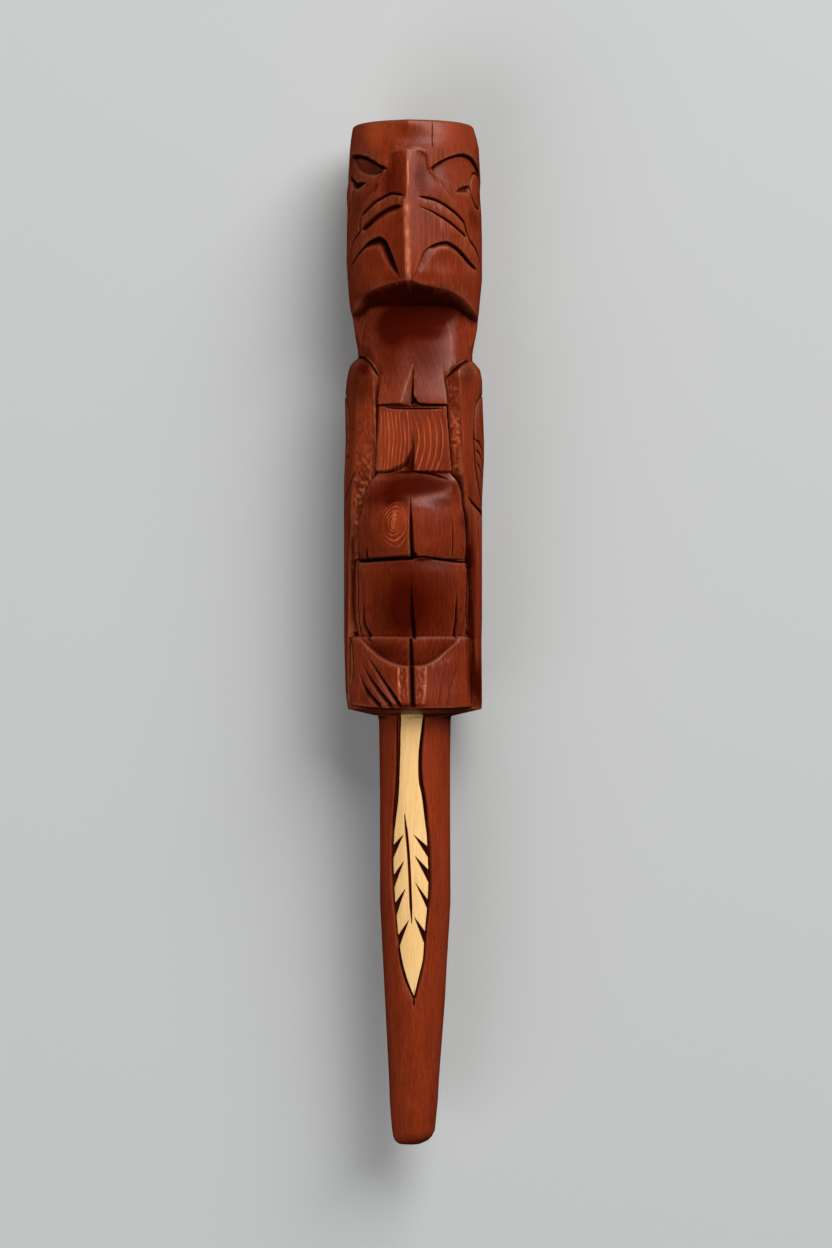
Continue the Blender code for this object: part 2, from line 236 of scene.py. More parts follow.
neck = {
    "sideReach": [(311, 29), (320, 27.8), (325, 26), (332, 24.6), (353, 21.9)],
    "sideTurn": 55,
    "flatness": 0.6,
    "facetTo": 80,
    "cornerRound": 1.1,  # how softly its front turns into its sides
    "top": 353.3,
    "shoulderTop": 333.4,
    "leastUnderside": 1.1,
    "leftShoulder": [(0, 322.8), (33, 322.8), (36.5, 324), (43, 327.4), (55.5, 331), (67, 331.6),
                     (180, 332)],
    "rightShoulder": [(0, 321.6), (31, 321.6), (37, 324.4), (45.3, 327.3), (56.5, 330), (75, 330),
                      (180, 330.5)],
    "shoulderSlope": 1.3,
}

head = {
    "ridge": [(363, 30.8), (366, 31.8), (374, 32.2), (385, 31.7), (410, 30), (416.8, 29.3), (418.8, 27)],
    "ridgeTurn": [(363, -3.8), (417, -5.4)],
    "ridgeRound": [(363, 2.2), (380, 1.6), (400, 0.8), (417, 0.6)],  # degrees over which it is rounded
    "rim": [(350, 322), (352, 315), (354.4, 310), (359, 303.4), (368.7, 292.6), (378.3, 287),
            (387.8, 283.4), (397.4, 281.4), (407, 279.2), (410.5, 279.2), (421.3, 284), (435.7, 287.4),
            (447, 289.4), (454.8, 292.8), (464.4, 299.8), (472, 308.4), (478.3, 319), (479, 322)],
    "leftBrow": [(386, 171), (384, 168), (376, 161), (367, 156), (358, 153.5), (351.5, 154), (348.5, 160)],
    "rightBrow": [(427.5, 170), (430, 168), (439, 162), (450, 156.5), (459, 153.3), (465, 153.2),
                  (471, 156.2), (476, 163), (479.5, 173)],
    "browBehind": [(95, 405), (108, 398)],
    "leftBeakSide": [(394, 147.5), (390, 154), (387, 160), (384.6, 168), (380.8, 177), (373, 192),
                     (362, 205)],
    "rightBeakSide": [(425.6, 149), (428.5, 160), (430, 168), (437, 178), (445, 190), (450, 196),
                      (458, 206)],
    "middle": -5.5,  # degrees that the face is turned to the left
    "flankDepth": 0.5,  # how far the beak's root lies under the forehead
    "flankFrom": (400, 409),  # and over what height it comes to that
    "flankTop": (418.4, 3.2),  # where the root ends in the middle, and how much lower beside
    "flankSteps": (1.1, 2.2),  # mm over which it starts at its top, and degrees over which at its sides
    "socketDepth": [(0, 2.3), (45, 2.3), (62, 1.7), (84, 1.0), (108, 0.0)],
    "socketFoot": 391,
    "browWall": 1.0,
    "sideWall": 1.2,
}


def sideValue(turn, up, name):
    left = readCurve(body["left"][name], up)
    right = readCurve(body["right"][name], up)
    return np.where(turn < 0, left, right)


def bodyReach(turn, up, outer):
    angle = np.abs(turn)
    leftEdge = readRounded(body["left"]["formEdge"], up)
    formEdge = np.where(turn < 0, leftEdge, readRounded(body["right"]["formEdge"], up))
    channel = np.maximum(sideValue(turn, up, "channel"), formEdge + 1)
    wingEdge = sideValue(turn, up, "wingEdge")
    bend = np.cos(np.radians(np.minimum(angle, formEdge))) ** readRounded(body["flatness"], up)
    form = np.minimum(readRounded(body["front"], up) / bend, outer)
    form = np.where(up > body["chestFoot"], np.minimum(form, neckReach(turn, up)), form)
    floor = np.minimum(sideValue(turn, up, "floor"), form)
    down = np.clip((angle - formEdge) / (channel - formEdge), 0, 1)
    rise = np.clip((angle - channel) / (wingEdge - channel), 0, 1)
    return form + (floor - form) * down + (outer - floor) * rise


def neckReach(turn, up):
    angle = np.abs(turn)
    bend = np.cos(np.radians(np.minimum(angle, neck["facetTo"]))) ** neck["flatness"]
    front = readRounded(body["front"], up) / bend
    facet = np.radians(np.clip(angle - neck["sideTurn"], -neck["facetTo"], neck["facetTo"]))
    side = readCurve(neck["sideReach"], up) / np.cos(facet)
    soft = neck["cornerRound"]
    return -soft * np.log(np.exp(-front / soft) + np.exp(-side / soft))


def plainHead(turn, up):
    # the beak's two flanks run from its ridge out to the pole
    outer = poleReach(turn, up)
    ridge = np.maximum(readCurve(head["ridge"], up), outer + 0.003)
    off = turn - readCurve(head["ridgeTurn"], up)
    rounding = readCurve(head["ridgeRound"], up)
    angle = np.sqrt(off**2 + rounding**2) - 0.3 * rounding
    spread = np.arccos(np.clip(outer / ridge, -1, 1))
    return outer / np.cos(np.maximum(spread - np.radians(angle), 0))


def asCurve(points, reachAt, by, beyond=()):
    # picture points as a curve of up over turn (by 0), or of turn over up (by 1)
    pairs = onStick(points, reachAt) + list(beyond)
    return sorted((pair[by], pair[1 - by]) for pair in pairs)


def browCurve():
    left = asCurve(head["leftBrow"], plainHead, 0, [(-turn, up) for turn, up in head["browBehind"]])
    right = asCurve(head["rightBrow"], plainHead, 0, head["browBehind"])
    return left + right


def headReach(turn, up, curves):
    reach = plainHead(turn, up)
    brow = readCurve(curves["brow"], turn)
    beakLeft = readCurve(curves["beakLeft"], up)
    beakRight = readCurve(curves["beakRight"], up)
    middle = readCurve(head["ridgeTurn"], up)
    off = np.where(turn < middle, beakLeft - turn, turn - beakRight)
    toLeft = (middle - turn) / (middle - beakLeft)
    toRight = (turn - middle) / (beakRight - middle)
    toSide = np.where(turn < middle, toLeft, toRight)
    rise = softStep((up - head["socketFoot"]) / np.maximum(brow - head["socketFoot"], 2) * 1.05)
    underBrow = np.clip((brow - up) / head["browWall"], 0, 1)
    besideBeak = np.clip(off / head["sideWall"] / 2, 0, 1)
    depth = readCurve(head["socketDepth"], np.abs(turn - head["middle"]))
    foot, full = head["flankFrom"]
    top, drop = head["flankTop"]
    atTop, atSides = head["flankSteps"]
    root = softStep((up - foot) / (full - foot)) * np.clip((top - drop * toSide**2 - up) / atTop, 0, 1)
    flank = head["flankDepth"] * root * np.clip(toSide * 1.3, 0, 1) * np.clip(-off / atSides, 0, 1)
    return reach - depth * rise * underBrow * besideBeak - flank


def plainForms(turn, up):
    # the whole stick with its main forms, before any line is cut
    curves = {
        "brow": browCurve(),
        "beakLeft": asCurve(head["leftBeakSide"], plainHead, 1),
        "beakRight": asCurve(head["rightBeakSide"], plainHead, 1),
    }
    rimPoints = asCurve(head["rim"], plainHead, 0)
    rimCurve = [(-180, neck["top"] - 7)] + rimPoints + [(180, neck["top"] - 7)]
    outer = poleReach(turn, up)
    onBody = bodyReach(turn, up, outer)
    onNeck = np.minimum(neckReach(turn, up), poleReach(turn, np.maximum(up, neck["shoulderTop"])))
    leftShoulder = readCurve(neck["leftShoulder"], -turn)
    shoulder = np.where(turn < 0, leftShoulder, readCurve(neck["rightShoulder"], turn))
    above = np.clip((up - shoulder) / neck["shoulderSlope"], 0, 1)
    reach = onBody + (onNeck - onBody) * above * (up > body["chestFoot"])
    rim = readCurve(rimCurve, turn)
    neckTop = np.minimum(neck["top"], rim - neck["leastUnderside"])
    under = np.clip((up - neckTop) / (rim - neckTop), 0, 1)
    atRim = headReach(turn, rim, curves)
    atNeck = np.minimum(neckReach(turn, neckTop), poleReach(turn, neckTop))
    reach = np.where(up > neckTop, atNeck + (atRim - atNeck) * under, reach)
    reach = np.where(up > rim, headReach(turn, up, curves), reach)
    return np.where(up < stick["figureFoot"] - 1.6, outer, reach)


# How fine the blank is worked before it is carved, in millimetres and degrees
blank = {
    "carvedTo": 118,
    "frontStep": 0.48,
    "backStep": 3.0,
    "figureRing": 0.34,
    "featherRing": 0.42,
    "plainRing": 1.1,
    "featherFoot": 54,
    "triangles": 192000,
    "endRings": (0.9, 0.72, 0.5, 0.28, 0.04),  # that close each end, as shares of its radius
    "smoothUnder": 42,  # sharper edges stay sharp in the shading
}


def evenly(start, end, step):
    return np.linspace(start, end, max(2, round((end - start) / step) + 1))


def laidFlat(path, radius):
    return np.column_stack([np.radians(path[:, 0]) * radius, path[:, 1]])


def blankLines():
    # turns of its columns and ups of its rings
    front = evenly(-blank["carvedTo"], blank["carvedTo"], blank["frontStep"])
    behind = evenly(blank["carvedTo"], 180, blank["backStep"])
    turns = np.concatenate([-behind[:0:-1], front, behind[1:]])
    foot = stick["figureFoot"]
    topEdge = stick["length"] - stick["headEdge"][1] * (1 - np.sin(np.linspace(0, math.pi / 2, 9)))
    parts = [
        evenly(0, 1.6, 0.2), evenly(1.6, 7, 0.5), evenly(7, blank["featherFoot"], blank["plainRing"]),
        evenly(blank["featherFoot"], foot - 2, blank["featherRing"]), evenly(foot - 2, foot + 2, 0.25),
        evenly(foot + 2, topEdge[0], blank["figureRing"]), topEdge,
    ]
    ups = np.concatenate(parts)
    return turns, ups[np.concatenate([[True], np.diff(ups) > 0.01])]


class Carving:
    # the blank's surface as one reach from the axis for each crossing of a column and a ring
    def __init__(self):
        self.turns, self.ups = blankLines()
        self.turn, self.up = np.meshgrid(self.turns, self.ups)
        self.reach = plainForms(self.turn, self.up)
        self.stainAndShadeInCuts = np.zeros(self.reach.shape)  # how dark the cuts are: stain run into them, and painted shade

    def read(self, values, turn, up):
        column = np.interp(turn, self.turns, np.arange(len(self.turns)))
        row = np.interp(up, self.ups, np.arange(len(self.ups)))
        left = np.minimum(column.astype(int), len(self.turns) - 2)
        below = np.minimum(row.astype(int), len(self.ups) - 2)
        du = column - left
        dv = row - below
        near = values[below, left] * (1 - du) + values[below, left + 1] * du
        far = values[below + 1, left] * (1 - du) + values[below + 1, left + 1] * du
        return near * (1 - dv) + far * dv

    def reachAt(self, turn, up):
        return self.read(self.reach, turn, up)

    def seen(self):
        # picture coordinates of every place on the front
        turn = np.radians(self.turn)
        scale = picture["perPixel"] * (1 - self.reach * np.cos(turn) / picture["cameraHeight"])
        across = picture["middle"][0] + (self.reach * np.sin(turn) - picture["lookAt"][0]) / scale
        down = picture["middle"][1] - (self.up - picture["lookAt"][1]) / scale
        return across, down

    def follow(self, seen, beyond=(), before=()):
        return smoothPath(list(before) + onStick(seen, self.reachAt) + list(beyond))

    def near(self, path, margin):
        # the part of the grid near a path of (turn, up), as slices, and both laid flat in millimetres
        radius = float(np.mean(self.reachAt(path[:, 0], path[:, 1])))
        reached = math.degrees(margin / radius)
        turns, ups = path.T
        columns = slice(*np.searchsorted(self.turns, [turns.min() - reached, turns.max() + reached]))
        rows = slice(*np.searchsorted(self.ups, [ups.min() - margin, ups.max() + margin]))
        across = np.radians(self.turn[rows, columns]) * radius
        return rows, columns, across, self.up[rows, columns], laidFlat(path, radius)

    # cuts and hollows painted darker, with stain and with painted shade
    def darkenWithStainAndShade(self, rows, columns, shade):
        self.stainAndShadeInCuts[rows, columns] = np.maximum(self.stainAndShadeInCuts[rows, columns], shade)

    def cut(self, seen, depth, left, right, widens=False, beyond=(), before=(), ends=0.16, thin=0.2,
            bowl=1.0, stain=1.0, above=0):
        # a V cut along a path, with its slopes' widths on the left and right of the way that it runs
        path = self.follow(seen, beyond, before)
        rows, columns, across, up, flat = self.near(path, max(left, right) + 1)
        distance, share = fromPath(across, up, flat)
        toEnd = share if widens else np.minimum(share, 1 - share) / ends
        fullness = np.sin(np.clip(toEnd + thin, 0, 1) * math.pi / 2)
        width = np.where(distance > 0, left, right) * fullness
        profile = np.clip(1 - np.abs(distance) / width, 0, 1) * (up > above)
        self.reach[rows, columns] -= depth * fullness * profile**bowl
        # stain: how dark the cut is painted, stain run in and painted shade on its slopes
        self.darkenWithStainAndShade(rows, columns, stain * np.clip(profile * 1.6, 0, 1) * np.clip(fullness * 1.5, 0, 1))

    def sink(self, seen, depth, wall, stain):
        # a patch inside an outline cut down by depth, with walls of that width
        corners = np.array(onStick(seen, self.reachAt))
        rows, columns, across, up, flat = self.near(corners, 2)
        share = np.clip(insideOutline(across, up, flat) / wall, 0, 1)
        self.reach[rows, columns] -= depth * share
        # stain: how dark it is painted, stain run in and painted shade
        self.darkenWithStainAndShade(rows, columns, stain * share)


# Cuts of the head. seen: picture points; before and beyond: (turn, up) where the picture doesn't reach;
# depth, and the widths of the slopes on the left and right of the way that the line runs. A line narrows
# over the share "ends" of its length at both ends, down to about "thin", or else widens from start to end.
# stain: how dark a line is painted, with stain run into it and with painted shade
headCuts = {
    "upperCrescentLeft": dict(
        seen=[(404, 195.6), (399.6, 194.4), (392.6, 193.6), (387.7, 195), (382, 198), (375, 202),
              (368, 208.6), (361, 216)],
        depth=1.35, left=0.75, right=0.95),
    "upperCrescentRight": dict(
        seen=[(418.5, 196.2), (427.5, 198), (434.6, 199.8), (441.6, 203), (448.6, 207.5), (455.6, 213),
              (460.5, 218), (464, 222.5), (465.8, 229), (468.2, 237)],
        depth=1.25, left=0.75, right=0.75),
    "cheekLineLeft": dict(
        seen=[(361.5, 215), (359.6, 221), (359.3, 225), (359.6, 231.4), (355.4, 237), (352.6, 243),
              (350.5, 250), (348.8, 258), (347.6, 266)],
        beyond=[(-88, 359), (-97, 352)], depth=0.9, left=0.7, right=0.7),
    "cheekLineRight": dict(
        seen=[(467.5, 234), (470.4, 241), (474.6, 247), (477.4, 253), (479.5, 260), (480.7, 268)],
        beyond=[(85, 362), (93, 354)], depth=0.9, left=0.7, right=0.7),
    "lowerCrescentLeft": dict(
        seen=[(401, 205.6), (395, 206.6), (389, 208.6), (382, 212.4), (373.7, 218.4), (368, 223.5),
              (361.4, 229.5)],
        depth=1.6, left=2.3, right=1.1),
    "lowerCrescentRight": dict(
        seen=[(421, 207), (431, 211), (438, 215), (445, 219), (452, 224), (459, 230), (465.4, 236)],
        depth=1.0, left=0.75, right=0.75, widens=True, thin=0.25),
    "archLeftFoot": dict(
        seen=[(349.8, 267), (352.6, 262), (355.4, 257), (361, 250), (368, 243), (373.7, 239)],
        depth=1.3, left=0.5, right=1.1, ends=0.4, thin=0.15),
    "archLeft": dict(
        seen=[(362, 249), (368, 243), (373.7, 239), (379.3, 237.5), (383.5, 239.5), (386.3, 243),
              (389.4, 250), (393, 259), (396.4, 268), (400, 278)],
        depth=1.8, left=0.5, right=3.9, ends=0.4, thin=0.08, stain=1.3),
    "archRightInner": dict(
        seen=[(413.6, 279), (416.6, 271), (419.6, 263), (423, 255), (427, 249.6), (432, 246), (438, 243.6),
              (444, 243.4)],
        depth=1.3, left=0.6, right=3.6, ends=0.5, thin=0.03, stain=0.12),
    "archRight": dict(
        seen=[(431, 246.4), (438, 243.4), (444, 242.3), (448.5, 242.6), (453, 245), (459, 249.4),
              (466, 257), (471.8, 264), (476, 268.5)],
        depth=1.7, left=0.5, right=2.0, ends=0.4, thin=0.35),
    "eyeCornerLineLeft": dict(
        seen=[(382.4, 174), (380, 179), (377, 186), (373.6, 193)],
        depth=0.5, left=0.5, right=1.1, stain=0.5),
    "browLineRight": dict(
        seen=[(429.4, 168.6), (435, 164.6), (442, 160.6), (450, 157), (459, 155), (467, 155.6),
              (473, 159.6), (477, 167), (479.4, 178)],
        depth=0.8, left=0.4, right=1.0, ends=0.25),
    "browLineLeft": dict(
        seen=[(385, 168), (380, 166.2), (374, 163), (367, 159.4), (360, 157), (353, 157)],
        depth=1.5, left=1.5, right=1.0, ends=0.12, thin=0.45),
    "scratchTop": dict(
        seen=[(432.3, 121.5), (432.4, 132), (432.2, 141), (432.6, 148)],
        depth=0.3, left=0.2, right=0.25, stain=0.8),
}

eyes = {
    "left": dict(turn=-83.6, up=402.0, radius=6.5),
    "right": dict(turn=72.5, up=401.8, radius=6.5),
    "ringWidth": 0.6,
    "ringDepth": 1.0,
    "dome": 0.8,
    "pointed": 0.13,  # how far its top and foot are drawn out
}

eyeNotches = {
    "left": dict(
        seen=[(349.4, 173), (351.6, 174.6), (354.2, 178.8), (356.4, 182.4), (358.4, 181.6), (366.8, 182.2),
              (362, 186.2), (357.4, 189.2), (354, 189), (351.8, 184), (349.6, 178.4)],
        depth=1.6, wall=0.6, stain=0.95),
    "right": dict(
        seen=[(455.2, 192.4), (458.4, 188.6), (463, 186), (467.6, 185.3), (470, 186.8), (469.4, 190),
              (468.6, 193), (462, 193)],
        depth=1.5, wall=0.8, stain=0.55),
}

# Cuts of the body, from the neck down to the tail
bodyCuts = {
    "neckLineLeft": dict(
        seen=[(367, 322), (363.6, 334), (362.3, 346), (361, 357)],
        depth=0.5, left=0.45, right=0.9, stain=0.7),
    "neckLineRight": dict(
        seen=[(466, 326), (468, 340), (468.6, 352), (468.8, 361)],
        depth=0.6, left=0.6, right=0.5, widens=True, stain=0.8),
    "shoulderLineLeft": dict(
        seen=[(359, 356.8), (364, 358.4), (369, 363.4), (373.5, 369), (378, 376)],
        depth=1.1, left=0.55, right=0.8),
    "shoulderLineRight": dict(
        seen=[(468.5, 360), (462, 364), (455, 370), (450, 374.6), (445.6, 378.6)],
        depth=1.1, left=0.8, right=0.55),
    "chestNotchFloor": dict(
        seen=[(413.2, 365), (413, 380), (412.4, 392), (411.6, 404)],
        depth=1.7, left=0.7, right=4.4, widens=True, thin=0.03, stain=0.3, above=311.2),
    "chestNotchWall": dict(
        seen=[(413.2, 367), (413, 380), (412.6, 392), (412, 404)],
        depth=0.5, left=0.6, right=0.7, widens=True, thin=0.1, stain=0.95, above=311.2),
    "chestFootLeft": dict(
        seen=[(379, 404.6), (388, 404), (404, 403.4)],
        depth=0.8, left=0.35, right=0.5, ends=0.2, stain=0.45),
    "chestFootRight": dict(
        seen=[(415, 402.4), (424, 404), (434, 404.4), (446.6, 404.6)],
        depth=1.5, left=0.5, right=0.9, ends=0.12),
    "panelHead": dict(
        seen=[(385, 407.6), (400, 408.4), (425, 408.6), (444, 408)],
        depth=0.7, left=0.4, right=0.5),
    "panelSlit": dict(
        seen=[(412.6, 430), (412.8, 445), (412.6, 458), (412, 471)],
        depth=0.9, left=1.1, right=0.9, widens=True, thin=0.12, stain=0.8),
    "panelFootLeft": dict(
        seen=[(411.8, 448), (410.4, 457), (407, 464), (400.5, 469), (392, 471.6), (384, 473.4)],
        depth=1.2, left=0.5, right=2.0, ends=0.4, thin=0.1, stain=0.6),
    "panelFootRight": dict(
        seen=[(413, 471), (420, 472.6), (430, 474), (440, 476.6), (448, 479.4)],
        depth=1.1, left=0.7, right=0.5, ends=0.3),
    "bellySlit": dict(
        seen=[(410.2, 496), (410.4, 515), (410.8, 535), (411.6, 557)],
        depth=1.9, left=1.5, right=1.0, widens=True, thin=0.08),
    "bellySlitLeft": dict(
        seen=[(366.6, 546), (366.8, 559)],
        depth=1.0, left=1.2, right=0.8, widens=True, thin=0.1),
    "bellySlitRight": dict(
        seen=[(452.8, 519), (453, 538), (452.2, 557)],
        depth=0.8, left=0.4, right=0.45, widens=True, thin=0.2),
    "bellyFootLeft": dict(
        seen=[(357.6, 560.6), (366, 560.4), (378, 559.4), (392, 558.4), (405, 557.6), (412, 558.6)],
        depth=1.9, left=1.1, right=1.3, ends=0.1, thin=0.35),
    "bellyFootRight": dict(
        seen=[(409, 558.8), (420, 556.8), (432, 557.8), (445, 560), (456, 561.6), (468, 562)],
        depth=1.3, left=0.6, right=0.7, ends=0.12, thin=0.4),
    "lapSlit": dict(
        seen=[(411.2, 580), (411.2, 600), (411.8, 618), (413.5, 637)],
        depth=2.2, left=1.5, right=0.9, widens=True, thin=0.06),
    "lapSideLeft": dict(
        seen=[(358.2, 563), (358, 590), (358.4, 615), (359, 637)],
        depth=1.0, left=0.5, right=0.5, ends=0.08, thin=0.4),
    "lapCurveLeft": dict(
        seen=[(364.2, 596), (364.4, 612), (365.6, 625), (370.5, 637)],
        depth=1.8, left=0.45, right=2.4, widens=True, thin=0.05),
    "lapSideRight": dict(
        seen=[(456.8, 588), (456.9, 606), (456.6, 620), (456.2, 637)],
        depth=1.7, left=1.1, right=1.2, widens=True, thin=0.06),
    "lapEdgeRight": dict(
        seen=[(466.5, 560), (466.3, 600), (466.6, 620), (468, 637)],
        depth=0.8, left=0.5, right=0.35, ends=0.1, thin=0.3),
    "tailScoop": dict(
        seen=[(360, 638.5), (368, 647), (377, 654.5), (386, 659.6), (395, 663.2), (404, 664.8), (415, 665),
              (425, 663.8), (435, 658.8), (446, 650.4), (459, 640)],
        depth=2.1, left=9.8, right=0.9, ends=0.32, thin=0.1, bowl=1.25, stain=0.3),
    "tailSlit": dict(
        seen=[(410.6, 640), (411.2, 660), (411.8, 680), (412.4, 705)],
        depth=2.2, left=1.8, right=1.5, widens=True, thin=0.4),
    "tailFootLine": dict(
        seen=[(352, 705.6), (378, 708.4), (400, 709.2), (430, 709.2), (455, 708.6), (478, 706)],
        depth=0.5, left=0.5, right=0.6, ends=0.2, stain=1.3),
    "tailFeatherInner": dict(
        seen=[(364, 651), (377, 670), (389, 688), (400, 704)],
        depth=1.5, left=0.6, right=2.0, widens=True, thin=0.05),
    "tailFeatherMiddle": dict(
        seen=[(361, 661), (370, 677), (380, 691), (390.5, 704)],
        depth=1.5, left=0.6, right=2.2, widens=True, thin=0.05),
    "tailFeatherOuter": dict(
        seen=[(358.6, 670), (364, 684), (371, 695), (379.5, 704.5)],
        depth=1.5, left=0.6, right=2.2, widens=True, thin=0.05),
    "tailFacetRight": dict(
        seen=[(458.5, 661), (454, 676), (450, 690), (447, 705)],
        depth=0.45, left=1.6, right=0.5, widens=True, stain=0.25),
    "tailFacetInner": dict(
        seen=[(447, 660), (443.5, 675), (441, 688), (438, 704)],
        depth=0.3, left=1.4, right=0.5, widens=True, stain=0.2),
    "tailEdgeLeft": dict(
        seen=[(354.2, 632), (353, 660), (351.8, 682), (350.6, 704)],
        depth=1.1, left=0.5, right=0.5, ends=0.1, thin=0.4),
    "tailEdgeRight": dict(
        seen=[(471.6, 638), (471.8, 670), (471.8, 704)],
        depth=0.6, left=0.5, right=0.5, ends=0.1, thin=0.4),
}

sunkPatches = {
    "browBowlLeft": dict(
        seen=[(354.6, 158.6), (362, 158.4), (370, 161.4), (378, 166), (384.4, 170.6), (381, 173.4),
              (376, 175.4), (368, 175.8), (361.4, 173.4), (357, 167.6)],
        depth=1.1, wall=0.9, stain=0.1),
    "chestNotchFlare": dict(
        seen=[(412.4, 386), (414.4, 395.6), (420, 404.6), (411.6, 404.8)],
        depth=1.3, wall=0.35, stain=0.95),
    "bellySlitFlare": dict(
        seen=[(410.6, 538), (413, 549), (420.5, 558.4), (411, 559.4)],
        depth=1.5, wall=0.4, stain=0.95),
}

# Cuts of the wings, which the picture shows only by their front edges: an oval with three feathers in it, a
# band below it, and the quills of the long feathers
wingCuts = {
    "ovalFrontRight": dict(
        seen=[(481.4, 396), (477.5, 402), (475, 413), (474, 430), (474.6, 450), (476, 470), (479, 488)],
        before=[(88, 316.2)], beyond=[(80, 271), (90, 268.5)], depth=1.5, left=1.1, right=0.9, ends=0.1,
        thin=0.35),
    "ovalFrontLeft": dict(
        seen=[(345.6, 396), (347.6, 405), (349, 418), (349.4, 432), (349, 448), (347.8, 462)],
        before=[(-92, 316)], beyond=[(-80, 276), (-90, 271)], depth=1.5, left=0.9, right=1.1, ends=0.1,
        thin=0.35),
    "bandRight": dict(
        seen=[(468.6, 497.4), (474, 504), (479, 510), (482, 516)],
        beyond=[(98, 261.4), (108, 260), (118, 259.6)], depth=1.2, left=0.8, right=1.0),
    "bandLeft": dict(
        seen=[(354.4, 472), (351, 480), (348.4, 487), (345.4, 497)],
        beyond=[(-99, 267), (-109, 264.4), (-118, 263.6)], depth=1.2, left=1.0, right=0.8),
    "quillRight": dict(
        seen=[(476.8, 508), (478.2, 530), (479.6, 556), (481, 585)],
        beyond=[(80, 222), (83, 196)], depth=0.9, left=0.6, right=0.6),
    "quillLeft": dict(
        seen=[(347.4, 500), (346.6, 530), (346, 560)],
        beyond=[(-80, 222), (-84, 196)], depth=0.9, left=0.6, right=0.6),
}
wingBeyond = {  # (turn, up) on the right side, and the same turned over on the left
    "ovalBack": dict(
        beyond=[(88, 316.2), (98, 315), (107, 309), (113, 299), (113, 287), (108, 277), (99, 270.5),
                (90, 268.5)],
        depth=1.5, left=0.9, right=1.1, ends=0.1, thin=0.35),
    "ovalInner": dict(
        beyond=[(82, 311), (94, 309.5), (103, 303), (105, 293), (101, 283)],
        depth=0.9, left=0.7, right=0.7),
    "secondQuill": dict(beyond=[(98, 257), (99, 232), (101, 204)], depth=0.9, left=0.6, right=0.6),
    "thirdQuill": dict(beyond=[(112, 256), (114, 236), (117, 214)], depth=0.9, left=0.6, right=0.6),
}
wingFeathers = {
    "right": [[(60, 296.8), (68, 295.6), (77, 292.4), (86, 287.5)],
              [(61, 292.6), (70, 290.6), (79, 286.4), (88, 280.4)],
              [(62.5, 287.4), (71, 284.6), (79, 279.8), (86, 274.6)]],
    "left": [[(-71, 303.2), (-80, 300.2), (-88, 295.6), (-96, 289.5)],
             [(-70.5, 297.4), (-79, 294), (-87, 289), (-94, 282.6)],
             [(-70, 291.6), (-78, 287.8), (-85, 282.4), (-91, 276.6)]],
    "depth": 1.3,
    "wide": 1.0,
    "steep": 0.5,
}

# The feather on the handle, of bare wood inside a cut outline
feather = {
    "top": 181.7,
    "leftTop": (-21.2, 184),  # turn and up, behind the tail's foot
    "rightTop": (15.4, 184),
    "left": [(400.8, 719), (400.3, 733), (400.1, 750), (399.4, 770), (398.9, 785), (398, 800), (395.6, 820),
             (394, 835), (393.2, 858), (394.2, 885), (396.2, 915), (398.6, 939), (401.8, 960), (406.6, 978),
             (410.6, 989), (413.6, 996)],
    "right": [(423, 719), (421, 733), (419, 750), (418.4, 770), (419.3, 783), (420.8, 790), (422.6, 800),
              (425, 820), (426.9, 835), (428, 857), (428.6, 883), (427.2, 908), (424.8, 935), (423.3, 957),
              (421.4, 967), (418.4, 979), (415.8, 990), (414.4, 996)],
    "depth": 1.35,
    "outerWidth": 1.25,
    "innerWidth": 0.12,
    "widerBy": 0.55,  # how much the outer width grows
    "wider": [(90, 0), (120, 1), (150, 1), (172, 0)],  # up, and how much of that there
    # how dark the grooves are painted, with stain and painted shade
    "stain": 0.88,
    "tip": [(413.9, 992), (413.8, 999), (413.6, 1005)],
    "besideQuill": [  # a wider groove where the vane is narrow, and at the tip's left
        dict(seen=[(396.8, 716), (396.8, 735), (396.4, 760), (395.4, 785), (393.8, 805), (392.4, 830)],
             depth=1.0, left=0.8, right=0.7, ends=0.3, thin=0.3, stain=0.9),
        dict(seen=[(425, 716), (422.6, 733), (421, 750), (420.8, 770), (422.2, 785), (424.6, 800),
                   (426.8, 822)],
             depth=1.1, left=0.75, right=0.9, ends=0.3, thin=0.35, stain=0.9),
        dict(seen=[(398.4, 945), (401, 962), (405.6, 979), (411.4, 993)], depth=0.8, left=0.5, right=0.8,
             ends=0.3, stain=0.9),
    ],
    "quill": [(404.4, 814), (406.2, 830), (408.2, 852), (409.6, 876), (410.4, 896), (411.7, 924)],
    "notches": [  # edge points above and below, and the point that the notch runs up to
        [(393.2, 845), (393.2, 859), (404, 834)], [(393.6, 875), (394.2, 888), (404.6, 860)],
        [(395, 903), (396.2, 917), (405.8, 888)], [(397.6, 936), (399.2, 948), (409.6, 919)],
        [(427.6, 846.5), (428.2, 858), (413, 834)], [(428.6, 870), (428.6, 883), (414.2, 855)],
        [(428, 900), (427.4, 909.5), (414.2, 881)], [(425.4, 932), (424, 943.5), (413.6, 916)],
    ],
    "notchDepth": 1.1,
    "quillHalf": 0.62,  # half its slit's width
    "quillDepth": 0.9,
}


# Worn and wavy surfaces: how far the knife and the years have left the wood from smooth
surface = {
    "wave": (0.10, 9.0, 30.0),  # height, pitch round the pole, pitch up it
    "backFacets": (0.22, 7.0, 26.0),
    "pebbles": (0.3, 0.95, 1.4),
    "fineGouges": (0.10, 0.8, 3.0),
    "handleWave": (0.07, 6.0, 40.0),
}
texturedFaces = {  # up, and how rough the wing's inner face is left there
    "left": [(196, 0.2), (214, 0.8), (262, 1.0), (281, 1.0), (296, 0.35), (312, 0.1)],
    "right": [(186, 0.5), (214, 0.8), (250, 0.6), (281, 1.0), (306, 0.9), (321, 0.5)],
}
tailStrips = [  # rough too: from and to across, from and to down, in the picture
    ((397.5, 408.5), (666, 702)), ((413.5, 426.5), (666, 702)),
]


